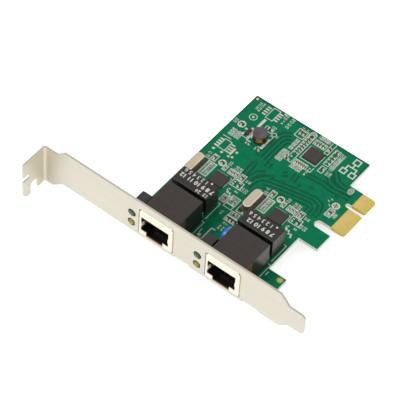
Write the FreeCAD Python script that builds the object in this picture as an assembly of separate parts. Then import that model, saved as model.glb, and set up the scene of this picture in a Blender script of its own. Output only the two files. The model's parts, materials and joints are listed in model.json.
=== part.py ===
import FreeCAD, Part
import math
import os

# Dual-port network card on a full-height steel bracket, all sizes in millimetres.
# Drawing frame: X runs along the bracket from the top of its tab, Y inward from the outer face of its strip,
# Z up from the component face of the board. Every part is moved at the end so that the origin lies on the
# centre line of the key notch, at the tip of the edge connector.

Vector = FreeCAD.Vector

# circuit board
BOARD_THICK = 1.57
BOARD_TOP_X = 39.6
BOARD_LOW_X = 92.6
BOARD_NEAR_Y = 3.4
BOARD_FAR_Y = 79.1
LOWER_TAB_X = 100.75
LOWER_TAB_Y = 16.2
HOOK_X = 101.0
HOOK_Y = (34.4, 42.4)
CONNECTOR_Y = (45.85, 66.15)
CONNECTOR_TIP_X = 104.75
SLOT_END_X = 92.8
ROUTED_CORNER = 0.4
KEY_Y = 58.0
KEY_WIDTH = 1.9
KEY_END_X = 96.7
CONNECTOR_CORNER = 0.9
BEVEL_LENGTH = 1.6
BEVEL_DEPTH = 0.4

# gold contacts of the edge connector
CONTACT_PITCH = 1.0
CONTACT_WIDTH = 0.7
CONTACT_THICK = 0.04
CONTACT_START_X = 99.3
CONTACT_END_X = 102.8
CONTACT_SHORTER = 1.0
CONTACTS_NEAR = 11
CONTACTS_FAR = 7
KEY_TO_CONTACT = 1.5

# bracket
SHEET = 0.86
BEND_RADIUS = 0.5
BRACKET_LENGTH = 120.02
STRIP_Z = (-2.96, 15.46)
TAB_Z = (-7.1, 12.06)
TAB_EDGE_Y = -12.0
TONGUE_Z = (0.45, 11.05)
TONGUE_SHOULDER_X = 109.12
TONGUE_START_X = 113.28
TONGUE_CORNER = 1.8
NECK_LOW_X = (4.5, 9.4)
NECK_HIGH_X = (6.73, 10.02)
SCREW_NOTCH_Y = -6.1
SCREW_NOTCH_WIDTH = 4.1
SCREW_NOTCH_TOP_Z = -1.5
SIDE_NOTCH_Y = -8.3
SIDE_NOTCH_Z = (2.2, 4.8)
STAMPED_CORNER = 0.4
OUTLINE_BEND = 0.8
FIXING_TAB_X = (65.5, 96.6)
FIXING_TAB_WIDTH = 7.0
FIXING_TAB_REACH = 9.0
FIXING_TAB_JOGGLE_Y = (2.2, 3.0)
FIXING_TAB_RADIUS = 0.3
FIXING_TAB_SLIT = 0.25
FIXING_TAB_SLIT_TOP_Z = -1.6
FIXING_SCREW_Y = 5.9

# screws that hold the board to the bracket
SCREW_RADIUS = 1.45
SCREW_HEAD_RADIUS = 2.6
SCREW_HEAD_HEIGHT = 1.8
SCREW_HEAD_BEVEL = 0.8
RECESS_HALF_LENGTH = 1.4
RECESS_HALF_WIDTH = 0.3
RECESS_DEPTH = 1.0
SCREW_END_Z = -2.9
SCREW_HOLE_RADIUS = 1.5

# ports
PORT_PITCH = 30.48
JACK_X = 53.25
JACK_HALF_WIDTH = 7.65
JACK_BACK_Y = 17.5
JACK_TOP_Z = 11.4
JACK_FACE_Y = -0.3
JACK_CHIN_Z = -1.3
MOUTH_SHIFT = -0.35
MOUTH_HALF_WIDTH = 6.3
MOUTH_Z = (1.05, 8.3)
LATCH_HALF_WIDTH = 3.8
LATCH_Z = -1.05
LATCH_FLOOR_Z = 0.35
CAVITY_HALF_WIDTH = 6.0
CAVITY_END_Y = 12.7
CARRIER_HALF_WIDTH = 5.0
CARRIER_FRONT_Y = 3.0
CARRIER_TOP_Z = 10.2
SPRING_Z = (3.0, 5.0)
SPRING_TIP_Y = 2.9
SPRING_POCKET_Z = (2.8, 5.2)
SPRING_POCKET_END_Y = 3.4
JACK_CUTOUT_X = (45.2, 61.3)
JACK_CUTOUT_Z = (-1.5, 11.8)
SHIELD_SHEET = 0.25
SHIELD_BEND = 0.2
SHIELD_END_Y = 7.3
SHIELD_TOP_END_Y = 2.3
SHIELD_LOW_END_Y = 3.0
PEG_Y = (4.8, 6.2)
PEG_END_Z = -3.0
POST_Y = 9.9
POST_OFFSET_X = 5.7
POST_RADIUS = 1.6
POST_PLAY = 0.05
POST_END_Z = -2.5
WIRE_COUNT = 8
WIRE_PITCH = 1.02
WIRE_WIDTH = 0.4
WIRE_THICK = 0.3
WIRE_FREE_END = (11.8, 4.4)
WIRE_FOLD = (3.6, 8.3)
WIRE_ROOF_Z = 8.75
WIRE_DROP_Y = (13.7, 16.24)
PIN_END_Z = -3.0
SOLDER_HEIGHT = 0.85
PIN_SOLDER_RADIUS = 0.85
PEG_SOLDER_RADIUS = 1.1

# light blocks
LED_X = 42.05
LED_BLOCK_HALF_WIDTH = 2.15
LED_BLOCK_Y = (1.2, 10.0)
LED_BLOCK_TOP_Z = 9.0
LED_GREEN_Z = 6.87
LED_YELLOW_Z = 1.57
LED_RADIUS = 1.5
LED_HOLE_RADIUS = 1.8
LED_TIP_Y = -0.4
LED_BACK_Y = 5.4
LED_LEAD_OFFSET_X = 1.27
LED_LEAD = 0.45
LED_DROP_Y = (8.4, 6.6)
LED_STEP = (9.2, 7.9)
LED_LEAD_SPACE = (3.2, 9.1, 7.3)
LED_PORT_PITCH = 30.15

# transformer modules
MODULE_X = 52.4
MODULE_PITCH = 30.4
MODULE_HALF_WIDTH = 8.05
MODULE_Y = (20.2, 27.7)
MODULE_Z = (0.55, 9.8)
MODULE_LEADS = 12
MODULE_LEAD_PITCH = 1.27
MODULE_LEAD_THICK = 0.22
MODULE_LEAD_WIDTH = 0.4
MODULE_LEAD_Z = 1.2
MODULE_LEAD_REACH = (0.45, 1.3)
MODULE_ROUNDING = 0.35
MODULE_FOOT_INSET = 0.8

# flat chips
PHY_X = 53.85
PHY_PITCH = 27.2
PHY_Y = 36.9
PHY_SIDE = 6.0
SWITCH_CENTRE = (73.85, 68.7)
SWITCH_SIDE = 6.2
CHIP_HEIGHT = 0.9
CHIP_BEVEL = 0.06
DIMPLE_INSET = 0.8
DIMPLE_RADIUS = 0.3

# crystals
CRYSTAL_X = 42.6
CRYSTAL_PITCH = 27.3
CRYSTAL_Y = 36.1
CRYSTAL_CAN = (3.5, 9.8)
CRYSTAL_FLANGE = (4.4, 10.9)
CRYSTAL_BASE_Z = (0.2, 0.6)
CRYSTAL_FLANGE_THICK = 0.25
CRYSTAL_HEIGHT = 3.5
CRYSTAL_BEVEL = 0.3
CRYSTAL_LEAD_SPAN = (2.2, 6.3)
CRYSTAL_LEAD_WIDTH = 0.7

# power inductor, transistor, disc capacitor
INDUCTOR_CENTRE = (53.5, 62.3)
INDUCTOR_RADIUS = 2.85
INDUCTOR_WAIST_RADIUS = 1.4
INDUCTOR_WINDING_RADIUS = 2.6
INDUCTOR_FOOT_Z = (0.25, 0.85)
INDUCTOR_TOP_Z = (3.4, 3.95)
INDUCTOR_TERMINAL_X = (1.2, 3.3)
INDUCTOR_TERMINAL_WIDTH = 3.0
TRANSISTOR_CENTRE = (48.2, 62.0)
TRANSISTOR_LENGTH = 2.9
TRANSISTOR_Z = (0.12, 0.6, 1.1)
TRANSISTOR_LEAD = 0.14
TRANSISTOR_HALF_WIDTHS = (0.7, 0.8, 0.65)
DISC_CENTRE = (74.1, 15.3, 4.6)
DISC_RADIUS = 3.75
DISC_THICK = 2.4
DISC_LEAD = 0.48
DISC_LEAD_OFFSET_Y = 2.5

# chip parts: length, width, height, length of an end cap
SIZE_SMALL = (1.0, 0.5, 0.45, 0.25)
SIZE_LARGE = (1.6, 0.85, 0.7, 0.35)


def box(x_range, y_range, z_range):
    """A block between two values on each axis."""
    size = (x_range[1] - x_range[0], y_range[1] - y_range[0], z_range[1] - z_range[0])
    return Part.makeBox(*size, Vector(x_range[0], y_range[0], z_range[0]))


def spread(centre, half):
    """The range that reaches half a width to each side of a centre."""
    return (centre - half, centre + half)


def on_plane(plane, across, along, depth):
    """A point of a drawing plane pushed along its normal."""
    places = {"XY": (across, along, depth), "XZ": (across, depth, along), "YZ": (depth, across, along)}
    return Vector(*places[plane])


def prism(plane, corners, depths):
    """A straight-sided solid on an outline of corners (across, along, corner radius)."""
    points = [on_plane(plane, across, along, depths[0]) for across, along, radius in corners]
    arcs = []
    for index, here in enumerate(points):
        back = (points[index - 1] - here).normalize()
        ahead = (points[(index + 1) % len(points)] - here).normalize()
        half_angle = back.getAngle(ahead) / 2
        radius = corners[index][2]
        reach = radius / math.tan(half_angle)
        crown = here + (back + ahead).normalize() * (radius / math.sin(half_angle) - radius)
        arcs.append((here + back * reach, crown, here + ahead * reach))
    edges = []
    for index, (start, crown, end) in enumerate(arcs):
        if corners[index][2] > 0:
            edges.append(Part.Arc(start, crown, end).toShape())
        following = arcs[(index + 1) % len(arcs)][0]
        if (following - end).Length > 1e-6:
            edges.append(Part.makeLine(end, following))
    face = Part.Face(Part.Wire(edges))
    return face.extrude(on_plane(plane, 0, 0, depths[1] - depths[0]))


def folded(plane, path, thick, inner_radius, depths):
    """A strip of sheet or wire that follows a bent centre line, with a round bend at each inner point."""
    left = []
    right = []
    for index, (across, along) in enumerate(path):
        here = Vector(across, along, 0)
        before = Vector(*path[max(index - 1, 0)], 0)
        after = Vector(*path[min(index + 1, len(path) - 1)], 0)
        incoming = (here - before) if index > 0 else (after - here)
        outgoing = (after - here) if index < len(path) - 1 else (here - before)
        incoming.normalize()
        outgoing.normalize()
        normal = Vector(-incoming.y - outgoing.y, incoming.x + outgoing.x, 0).normalize()
        turn = incoming.cross(outgoing).z
        side = normal * (thick / 2 / math.cos(incoming.getAngle(outgoing) / 2))
        bend = inner_radius if abs(turn) > 1e-6 else 0
        outer_bend = bend + thick if bend > 0 else 0
        left_radius = bend if turn > 0 else outer_bend
        right_radius = outer_bend if turn > 0 else bend
        left.append(((here + side).x, (here + side).y, left_radius))
        right.append(((here - side).x, (here - side).y, right_radius))
    return prism(plane, left + right[::-1], depths)


def turned(profile, centre, axis):
    """A solid of revolution from profile points (radius, height along the axis from the centre)."""
    points = [Vector(radius, 0, height) for radius, height in profile]
    face = Part.Face(Part.makePolygon(points + points[:1]))
    solid = face.revolve(Vector(0, 0, 0), Vector(0, 0, 1), 360)
    solid.Placement = FreeCAD.Placement(Vector(*centre), FreeCAD.Rotation(Vector(0, 0, 1), Vector(*axis)))
    return solid


def round_bar(radius, centre, depths, axis="Z"):
    """A cylinder between two depths on an axis; centre holds the two other coordinates."""
    planes = {"X": "YZ", "Y": "XZ", "Z": "XY"}
    start = on_plane(planes[axis], centre[0], centre[1], depths[0])
    direction = on_plane(planes[axis], 0, 0, 1)
    return Part.makeCylinder(radius, depths[1] - depths[0], start, direction)


def rectangle(across_range, along_range, radius):
    """Corner list of a rectangle with equal corner radii."""
    return [(across_range[0], along_range[0], radius), (across_range[1], along_range[0], radius),
            (across_range[1], along_range[1], radius), (across_range[0], along_range[1], radius)]


def joined(shapes):
    """Several overlapping or touching shapes as one solid."""
    return shapes[0].multiFuse(shapes[1:]).removeSplitter()


def outer_edges(shape, axis, value):
    """Edges of a shape that lie wholly in the plane axis = value."""
    def spans(edge):
        box_of = edge.BoundBox
        low = getattr(box_of, axis + "Min")
        high = getattr(box_of, axis + "Max")
        return abs(low - value) < 1e-4 and abs(high - value) < 1e-4
    return [edge for edge in shape.Edges if spans(edge)]


def write(name, *pieces):
    """Write the pieces of one part, moved so that the connector tip on the key centre line is the origin."""
    group = Part.makeCompound(list(pieces))
    group.translate(Vector(-CONNECTOR_TIP_X, -KEY_Y, 0))
    group.exportStep("parts/" + name + ".step")


# ---------------------------------------------------------------- bracket

def strip_outline():
    """Outline of the folded bracket seen from outside: wide tab end, sloped necks, narrowed tongue."""
    bend = OUTLINE_BEND
    corners = [(-1.0, TAB_Z[0], 0), (NECK_LOW_X[0], TAB_Z[0], bend), (NECK_LOW_X[1], STRIP_Z[0], bend),
               (TONGUE_SHOULDER_X, STRIP_Z[0], bend), (TONGUE_START_X, TONGUE_Z[0], bend),
               (BRACKET_LENGTH, TONGUE_Z[0], TONGUE_CORNER), (BRACKET_LENGTH, TONGUE_Z[1], TONGUE_CORNER),
               (TONGUE_START_X, TONGUE_Z[1], bend), (TONGUE_SHOULDER_X, STRIP_Z[1], bend),
               (NECK_HIGH_X[1], STRIP_Z[1], bend), (NECK_HIGH_X[0], TAB_Z[1], bend), (-1.0, TAB_Z[1], 0)]
    return prism("XZ", corners, (TAB_EDGE_Y - 1, SHEET + 1))


def tab_outline():
    """Outline of the bent tab seen along the bracket: side notch, finger and screw notch."""
    inner_y = SCREW_NOTCH_Y + SCREW_NOTCH_WIDTH / 2
    finger_y = SCREW_NOTCH_Y - SCREW_NOTCH_WIDTH / 2
    round_end = SCREW_NOTCH_WIDTH / 2 - 0.2
    slant = 1.5
    corner = STAMPED_CORNER
    corners = [(TAB_EDGE_Y, TAB_Z[1], corner), (TAB_EDGE_Y, SIDE_NOTCH_Z[1], 0),
               (SIDE_NOTCH_Y, SIDE_NOTCH_Z[1], corner), (SIDE_NOTCH_Y, SIDE_NOTCH_Z[0], corner),
               (TAB_EDGE_Y, SIDE_NOTCH_Z[0], 0), (TAB_EDGE_Y, TAB_Z[0] + slant, corner),
               (TAB_EDGE_Y + slant, TAB_Z[0], corner), (finger_y, TAB_Z[0], corner),
               (finger_y, SCREW_NOTCH_TOP_Z, round_end), (inner_y, SCREW_NOTCH_TOP_Z, round_end),
               (inner_y, TAB_Z[0], corner), (SHEET + 1, TAB_Z[0], 0), (SHEET + 1, STRIP_Z[1] + 1, 0),
               (-1.0, STRIP_Z[1] + 1, 0), (-1.0, TAB_Z[1], 0)]
    return prism("YZ", corners, (-1.0, BRACKET_LENGTH + 1))


def fixing_tab(centre_x):
    """A tab folded inward from the lower edge of the strip and set up against the board."""
    low_z = STRIP_Z[0] + SHEET / 2
    high_z = -BOARD_THICK - SHEET / 2
    path = [(SHEET / 2, 1.0), (SHEET / 2, low_z), (FIXING_TAB_JOGGLE_Y[0], low_z),
            (FIXING_TAB_JOGGLE_Y[1], high_z), (FIXING_TAB_REACH, high_z)]
    tab = folded("YZ", path, SHEET, FIXING_TAB_RADIUS, spread(centre_x, FIXING_TAB_WIDTH / 2))
    return tab.cut(round_bar(SCREW_HOLE_RADIUS, (centre_x, FIXING_SCREW_Y), (-4.0, 0.0)))


def bracket():
    """One folded sheet: strip and tab cut from an L section, port and lamp openings, two fixing tabs."""
    path = [(SHEET / 2, TAB_EDGE_Y), (SHEET / 2, SHEET / 2), (BRACKET_LENGTH, SHEET / 2)]
    sheet = folded("XY", path, SHEET, BEND_RADIUS, (TAB_Z[0], STRIP_Z[1]))
    sheet = sheet.common(strip_outline()).common(tab_outline())
    through = (-1.0, SHEET + 1)
    for port in range(2):
        shift = port * PORT_PITCH
        across = (JACK_CUTOUT_X[0] + shift, JACK_CUTOUT_X[1] + shift)
        opening = rectangle(across, JACK_CUTOUT_Z, STAMPED_CORNER)
        sheet = sheet.cut(prism("XZ", opening, through))
        for lamp_z in (LED_GREEN_Z, LED_YELLOW_Z):
            centre = (LED_X + port * LED_PORT_PITCH, lamp_z)
            sheet = sheet.cut(round_bar(LED_HOLE_RADIUS, centre, through, "Y"))
    for centre_x in FIXING_TAB_X:
        slits = spread(centre_x, FIXING_TAB_WIDTH / 2 + FIXING_TAB_SLIT)
        sheet = sheet.cut(box(slits, through, (STRIP_Z[0] - 1, FIXING_TAB_SLIT_TOP_Z)))
        sheet = sheet.fuse(fixing_tab(centre_x))
    return sheet.removeSplitter()


def bracket_screw(centre_x):
    """A pan-head screw through the board into a fixing tab."""
    rim = SCREW_HEAD_HEIGHT - SCREW_HEAD_BEVEL
    profile = [(0, SCREW_END_Z), (SCREW_RADIUS, SCREW_END_Z), (SCREW_RADIUS, 0), (SCREW_HEAD_RADIUS, 0),
               (SCREW_HEAD_RADIUS, rim), (SCREW_HEAD_RADIUS - SCREW_HEAD_BEVEL, SCREW_HEAD_HEIGHT),
               (0, SCREW_HEAD_HEIGHT)]
    screw = turned(profile, (centre_x, FIXING_SCREW_Y, 0), (0, 0, 1))
    recess_z = (SCREW_HEAD_HEIGHT - RECESS_DEPTH, SCREW_HEAD_HEIGHT + 1)
    long_cut = box(spread(centre_x, RECESS_HALF_LENGTH), spread(FIXING_SCREW_Y, RECESS_HALF_WIDTH), recess_z)
    cross_cut = box(spread(centre_x, RECESS_HALF_WIDTH), spread(FIXING_SCREW_Y, RECESS_HALF_LENGTH), recess_z)
    return screw.cut(long_cut).cut(cross_cut)


# ---------------------------------------------------------------- circuit board

def board_blank():
    """The routed laminate: lower tab, recess, hook, round-ended slot, bevelled and notched connector."""
    slot_radius = (CONNECTOR_Y[0] - HOOK_Y[1]) / 2
    slot_x = SLOT_END_X + slot_radius
    corner = ROUTED_CORNER
    corners = [(BOARD_TOP_X, BOARD_NEAR_Y, 0), (LOWER_TAB_X, BOARD_NEAR_Y, 0),
               (LOWER_TAB_X, LOWER_TAB_Y, 0), (BOARD_LOW_X, LOWER_TAB_Y, corner),
               (BOARD_LOW_X, HOOK_Y[0], corner), (HOOK_X, HOOK_Y[0], 0), (HOOK_X, HOOK_Y[1], 0),
               (slot_x, HOOK_Y[1], 0), (slot_x, CONNECTOR_Y[0], 0),
               (CONNECTOR_TIP_X, CONNECTOR_Y[0], CONNECTOR_CORNER),
               (CONNECTOR_TIP_X, CONNECTOR_Y[1], CONNECTOR_CORNER),
               (BOARD_LOW_X, CONNECTOR_Y[1], corner), (BOARD_LOW_X, BOARD_FAR_Y, 0),
               (BOARD_TOP_X, BOARD_FAR_Y, 0)]
    blank = prism("XY", corners, (-BOARD_THICK, 0))
    blank = blank.cut(round_bar(slot_radius, (slot_x, HOOK_Y[1] + slot_radius), (-BOARD_THICK, 0)))
    notch_start = KEY_END_X + KEY_WIDTH / 2
    blank = blank.cut(round_bar(KEY_WIDTH / 2, (notch_start, KEY_Y), (-BOARD_THICK, 0)))
    blank = blank.cut(box((notch_start, CONNECTOR_TIP_X), spread(KEY_Y, KEY_WIDTH / 2), (-BOARD_THICK, 0)))
    for face_z, inward in ((0, -1), (-BOARD_THICK, 1)):
        wedge = [(CONNECTOR_TIP_X - BEVEL_LENGTH, face_z, 0), (CONNECTOR_TIP_X, face_z, 0),
                 (CONNECTOR_TIP_X, face_z + inward * BEVEL_DEPTH, 0)]
        blank = blank.cut(prism("XZ", wedge, CONNECTOR_Y))
    return blank


def pin_places():
    """Centre of every lead that passes through the board, port by port."""
    places = []
    for port in range(2):
        jack_x = JACK_X + port * PORT_PITCH
        places += [(wire_x(jack_x, index), WIRE_DROP_Y[index % 2]) for index in range(WIRE_COUNT)]
        led_x = LED_X + port * LED_PORT_PITCH
        for drop_y in LED_DROP_Y:
            places += [(led_x - LED_LEAD_OFFSET_X, drop_y), (led_x + LED_LEAD_OFFSET_X, drop_y)]
    places += [(DISC_CENTRE[0], DISC_CENTRE[1] + side * DISC_LEAD_OFFSET_Y) for side in (-1, 1)]
    return places


def peg_places():
    """Centre of every shield peg that passes through the board."""
    offset = JACK_HALF_WIDTH - SHIELD_SHEET / 2
    middle_y = sum(PEG_Y) / 2
    return [(JACK_X + port * PORT_PITCH + side * offset, middle_y) for port in range(2) for side in (-1, 1)]


def circuit_board(leads):
    """The laminate with close holes for leads and shield pegs, round holes for jack posts and screws."""
    through = (-BOARD_THICK, 0)
    holes = [round_bar(SCREW_HOLE_RADIUS, (centre_x, FIXING_SCREW_Y), through) for centre_x in FIXING_TAB_X]
    for port in range(2):
        for side in (-1, 1):
            centre = (JACK_X + port * PORT_PITCH + side * POST_OFFSET_X, POST_Y)
            holes.append(round_bar(POST_RADIUS + POST_PLAY, centre, through))
    return board_blank().cut(Part.makeCompound(holes)).cut(leads)


def edge_contacts():
    """Gold strips on both faces of the connector; the two presence contacts are shorter."""
    near = [KEY_Y - KEY_TO_CONTACT - index * CONTACT_PITCH for index in range(CONTACTS_NEAR)]
    far = [KEY_Y + KEY_TO_CONTACT + index * CONTACT_PITCH for index in range(CONTACTS_FAR)]
    upper_z = (0, CONTACT_THICK)
    lower_z = (-BOARD_THICK - CONTACT_THICK, -BOARD_THICK)
    strips = []
    for face_z, short_y in ((upper_z, far[-2]), (lower_z, near[-1])):
        for centre_y in near + far:
            end_x = CONTACT_END_X - CONTACT_SHORTER if centre_y == short_y else CONTACT_END_X
            strips.append(box((CONTACT_START_X, end_x), spread(centre_y, CONTACT_WIDTH / 2), face_z))
    return strips


def eight_sided_cone(centre, low_radius, low_z, high_radius, high_z):
    """A blunt cone with eight flat sides round a vertical axis."""
    def ring(radius, z):
        angles = [math.radians(45 * (step + 0.5)) for step in range(8)]
        return [Vector(centre[0] + radius * math.cos(a), centre[1] + radius * math.sin(a), z) for a in angles]
    low = ring(low_radius, low_z)
    high = ring(high_radius, high_z)
    loops = [low[::-1] + low[-1:], high + high[:1]]
    for step in range(8):
        after = (step + 1) % 8
        loops.append([low[step], low[after], high[after], high[step], low[step]])
    faces = [Part.Face(Part.makePolygon(loop)) for loop in loops]
    return Part.makeSolid(Part.makeShell(faces))


def solder_joints(leads):
    """Eight-sided cones of solder round the leads on the underside of the board."""
    joints = []
    for places, wide in ((pin_places(), PIN_SOLDER_RADIUS), (peg_places(), PEG_SOLDER_RADIUS)):
        for centre in places:
            cone = eight_sided_cone(centre, wide * 0.45, -BOARD_THICK - SOLDER_HEIGHT, wide, -BOARD_THICK)
            joints.append(cone.cut(leads))
    return joints


# ---------------------------------------------------------------- ports

def wire_x(jack_x, index):
    """Centre of one contact wire across a port."""
    return jack_x + MOUTH_SHIFT + (index - (WIRE_COUNT - 1) / 2) * WIRE_PITCH


def jack_housing(jack_x):
    """Moulded port body: plug cavity, latch slot, pockets for the shield springs and the contact carrier."""
    mouth_x = jack_x + MOUTH_SHIFT
    flank = JACK_HALF_WIDTH - SHIELD_SHEET - 0.03
    front_y = JACK_FACE_Y + SHIELD_SHEET + SHIELD_BEND
    body = joined([
        box(spread(jack_x, flank), (front_y, JACK_BACK_Y), (0, JACK_TOP_Z - SHIELD_SHEET)),
        box(spread(jack_x, JACK_HALF_WIDTH), (SHIELD_END_Y + 0.05, JACK_BACK_Y), (0, JACK_TOP_Z)),
        box(spread(jack_x, flank), (SHIELD_TOP_END_Y + 0.05, JACK_BACK_Y), (0, JACK_TOP_Z)),
        box(spread(jack_x, flank), (front_y, BOARD_NEAR_Y - 0.1), (JACK_CHIN_Z + SHIELD_SHEET, 1.0))])
    for side in (-1, 1):
        centre = (jack_x + side * POST_OFFSET_X, POST_Y)
        body = body.fuse(round_bar(POST_RADIUS, centre, (POST_END_Z, 0.5)))
    outside_y = front_y - 1
    chin_z = JACK_CHIN_Z + SHIELD_SHEET
    carrier_x = spread(mouth_x, CARRIER_HALF_WIDTH)
    cuts = [
        box(spread(mouth_x, CAVITY_HALF_WIDTH), (outside_y, CAVITY_END_Y), MOUTH_Z),
        box(spread(mouth_x, LATCH_HALF_WIDTH - 0.1), (outside_y, SHIELD_LOW_END_Y), (chin_z - 1, MOUTH_Z[0])),
        box(spread(mouth_x, LATCH_HALF_WIDTH - 0.6), (outside_y, CAVITY_END_Y), (LATCH_FLOOR_Z, MOUTH_Z[0])),
        box(spread(mouth_x, MOUTH_HALF_WIDTH), (outside_y, SPRING_POCKET_END_Y), SPRING_POCKET_Z),
        box(carrier_x, (CARRIER_FRONT_Y, JACK_BACK_Y + 1), (MOUTH_Z[1], CARRIER_TOP_Z)),
        box(carrier_x, (CAVITY_END_Y, JACK_BACK_Y + 1), (-0.5, MOUTH_Z[1]))]
    for cut in cuts:
        body = body.cut(cut)
    return body


def contact_carrier(jack_x):
    """Moulded insert that closes the back of a port and guides its eight wires."""
    mouth_x = jack_x + MOUTH_SHIFT
    front_y = CARRIER_FRONT_Y + 0.1
    back_y = JACK_BACK_Y - 0.1
    corners = [(front_y, MOUTH_Z[1], 0), (CAVITY_END_Y, MOUTH_Z[1], 0), (CAVITY_END_Y, 0, 0),
               (back_y, 0, 0), (back_y, CARRIER_TOP_Z, 0), (front_y, CARRIER_TOP_Z, 0)]
    carrier = prism("YZ", corners, spread(mouth_x, CARRIER_HALF_WIDTH - 0.02))
    roof_z = WIRE_ROOF_Z + WIRE_THICK / 2 + 0.05
    for index in range(WIRE_COUNT):
        drop_y = spread(WIRE_DROP_Y[index % 2], WIRE_THICK / 2 + 0.1)
        groove = spread(wire_x(jack_x, index), WIRE_WIDTH / 2 + 0.08)
        carrier = carrier.cut(box(groove, (CARRIER_FRONT_Y, drop_y[1]), (MOUTH_Z[1] - 1, roof_z)))
        carrier = carrier.cut(box(groove, drop_y, (-1.0, roof_z)))
    return carrier


def jack_contacts(jack_x):
    """Eight gold wires: sprung end in the cavity, fold at the front, run along the roof, leg to the board."""
    wires = []
    for index in range(WIRE_COUNT):
        drop_y = WIRE_DROP_Y[index % 2]
        path = [WIRE_FREE_END, WIRE_FOLD, (WIRE_FOLD[0] + 0.1, WIRE_ROOF_Z), (drop_y, WIRE_ROOF_Z),
                (drop_y, PIN_END_Z)]
        wires.append(folded("YZ", path, WIRE_THICK, 0, spread(wire_x(jack_x, index), WIRE_WIDTH / 2)))
    return wires


def jack_shield(jack_x):
    """Folded metal front of a port: face, flanks with board pegs, top and bottom flanges, side springs."""
    mouth_x = jack_x + MOUTH_SHIFT
    middle = SHIELD_SHEET / 2
    face_y = JACK_FACE_Y + middle
    side_x = JACK_HALF_WIDTH - middle
    top_z = JACK_TOP_Z + 0.05
    wrap = [(jack_x - side_x, SHIELD_END_Y), (jack_x - side_x, face_y),
            (jack_x + side_x, face_y), (jack_x + side_x, SHIELD_END_Y)]
    sheet = folded("XY", wrap, SHIELD_SHEET, SHIELD_BEND, (JACK_CHIN_Z + 0.25, top_z - 0.25))
    flange_x = spread(jack_x, side_x - 0.5)
    top_flange = [(face_y, 9.0), (face_y, top_z - middle), (SHIELD_TOP_END_Y, top_z - middle)]
    low_flange = [(face_y, 0.5), (face_y, JACK_CHIN_Z + middle), (SHIELD_LOW_END_Y, JACK_CHIN_Z + middle)]
    sheet = joined([sheet, folded("YZ", top_flange, SHIELD_SHEET, SHIELD_BEND, flange_x),
                    folded("YZ", low_flange, SHIELD_SHEET, SHIELD_BEND, flange_x)])
    around = spread(jack_x, JACK_HALF_WIDTH + 1)
    sheet = sheet.cut(box(around, (SHIELD_LOW_END_Y + 0.1, SHIELD_END_Y + 1), (JACK_CHIN_Z - 1, 0.1)))
    face_cut = (JACK_FACE_Y - 1, JACK_FACE_Y + SHIELD_SHEET + 0.1)
    sheet = sheet.cut(box(spread(mouth_x, MOUTH_HALF_WIDTH), face_cut, MOUTH_Z))
    sheet = sheet.cut(box(spread(mouth_x, LATCH_HALF_WIDTH), face_cut, (LATCH_Z, MOUTH_Z[0] + 0.5)))
    for side in (-1, 1):
        peg_x = spread(jack_x + side * side_x, middle)
        sheet = sheet.fuse(box(peg_x, PEG_Y, (PEG_END_Z, 1.0)))
        edge_x = mouth_x + side * MOUTH_HALF_WIDTH
        spring = [(edge_x + side * 0.4, face_y), (edge_x - side * 0.16, face_y),
                  (edge_x - side * 0.75, SPRING_TIP_Y)]
        sheet = sheet.fuse(folded("XY", spring, SHIELD_SHEET, 0, SPRING_Z))
    return sheet.removeSplitter()


# ---------------------------------------------------------------- light blocks

def led_holder(led_x):
    """Moulded right-angle block with two lamp bores and an open space for the leads behind them."""
    corners = [(LED_BLOCK_Y[0], 0, 0), (LED_BLOCK_Y[1], 0, 0), (LED_BLOCK_Y[1], LED_STEP[1], 0),
               (LED_STEP[0], LED_STEP[1], 0), (LED_STEP[0], LED_BLOCK_TOP_Z, 0),
               (LED_BLOCK_Y[0], LED_BLOCK_TOP_Z, 0)]
    block = prism("YZ", corners, spread(led_x, LED_BLOCK_HALF_WIDTH))
    for lamp_z in (LED_GREEN_Z, LED_YELLOW_Z):
        block = block.cut(round_bar(LED_RADIUS + 0.02, (led_x, lamp_z), (LED_BLOCK_Y[0], LED_BACK_Y), "Y"))
    width, back_y, top_z = LED_LEAD_SPACE
    return block.cut(box(spread(led_x, width / 2), (LED_BACK_Y, back_y), (-0.5, top_z)))


def led(led_x, lamp_z):
    """A round lamp with a domed front."""
    length = LED_BACK_Y - LED_TIP_Y
    profile = [(0, 0), (LED_RADIUS * 0.7, 0.25), (LED_RADIUS, 1.2), (LED_RADIUS, length), (0, length)]
    return turned(profile, (led_x, LED_TIP_Y, lamp_z), (0, 1, 0))


def led_leads(led_x):
    """Four lamp leads that run back from the lamps and down through the board."""
    leads = []
    for lamp_z, drop_y in zip((LED_GREEN_Z, LED_YELLOW_Z), LED_DROP_Y):
        for side in (-1, 1):
            path = [(LED_BACK_Y, lamp_z), (drop_y, lamp_z), (drop_y, PIN_END_Z)]
            across = spread(led_x + side * LED_LEAD_OFFSET_X, LED_LEAD / 2)
            leads.append(folded("YZ", path, LED_LEAD, 0, across))
    return leads


# ---------------------------------------------------------------- parts on the board

def module_body(module_x):
    """Tall moulded transformer module with rounded upper edges and four feet."""
    body = box(spread(module_x, MODULE_HALF_WIDTH), MODULE_Y, MODULE_Z)
    body = body.makeFillet(MODULE_ROUNDING, outer_edges(body, "Z", MODULE_Z[1]))
    feet = []
    for foot_x in spread(module_x, MODULE_HALF_WIDTH - MODULE_FOOT_INSET):
        for foot_y in spread(sum(MODULE_Y) / 2, (MODULE_Y[1] - MODULE_Y[0]) / 2 - 2 * MODULE_FOOT_INSET):
            feet.append(box(spread(foot_x, 0.5), spread(foot_y, 0.5), (0, MODULE_Z[0])))
    return joined([body] + feet)


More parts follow.
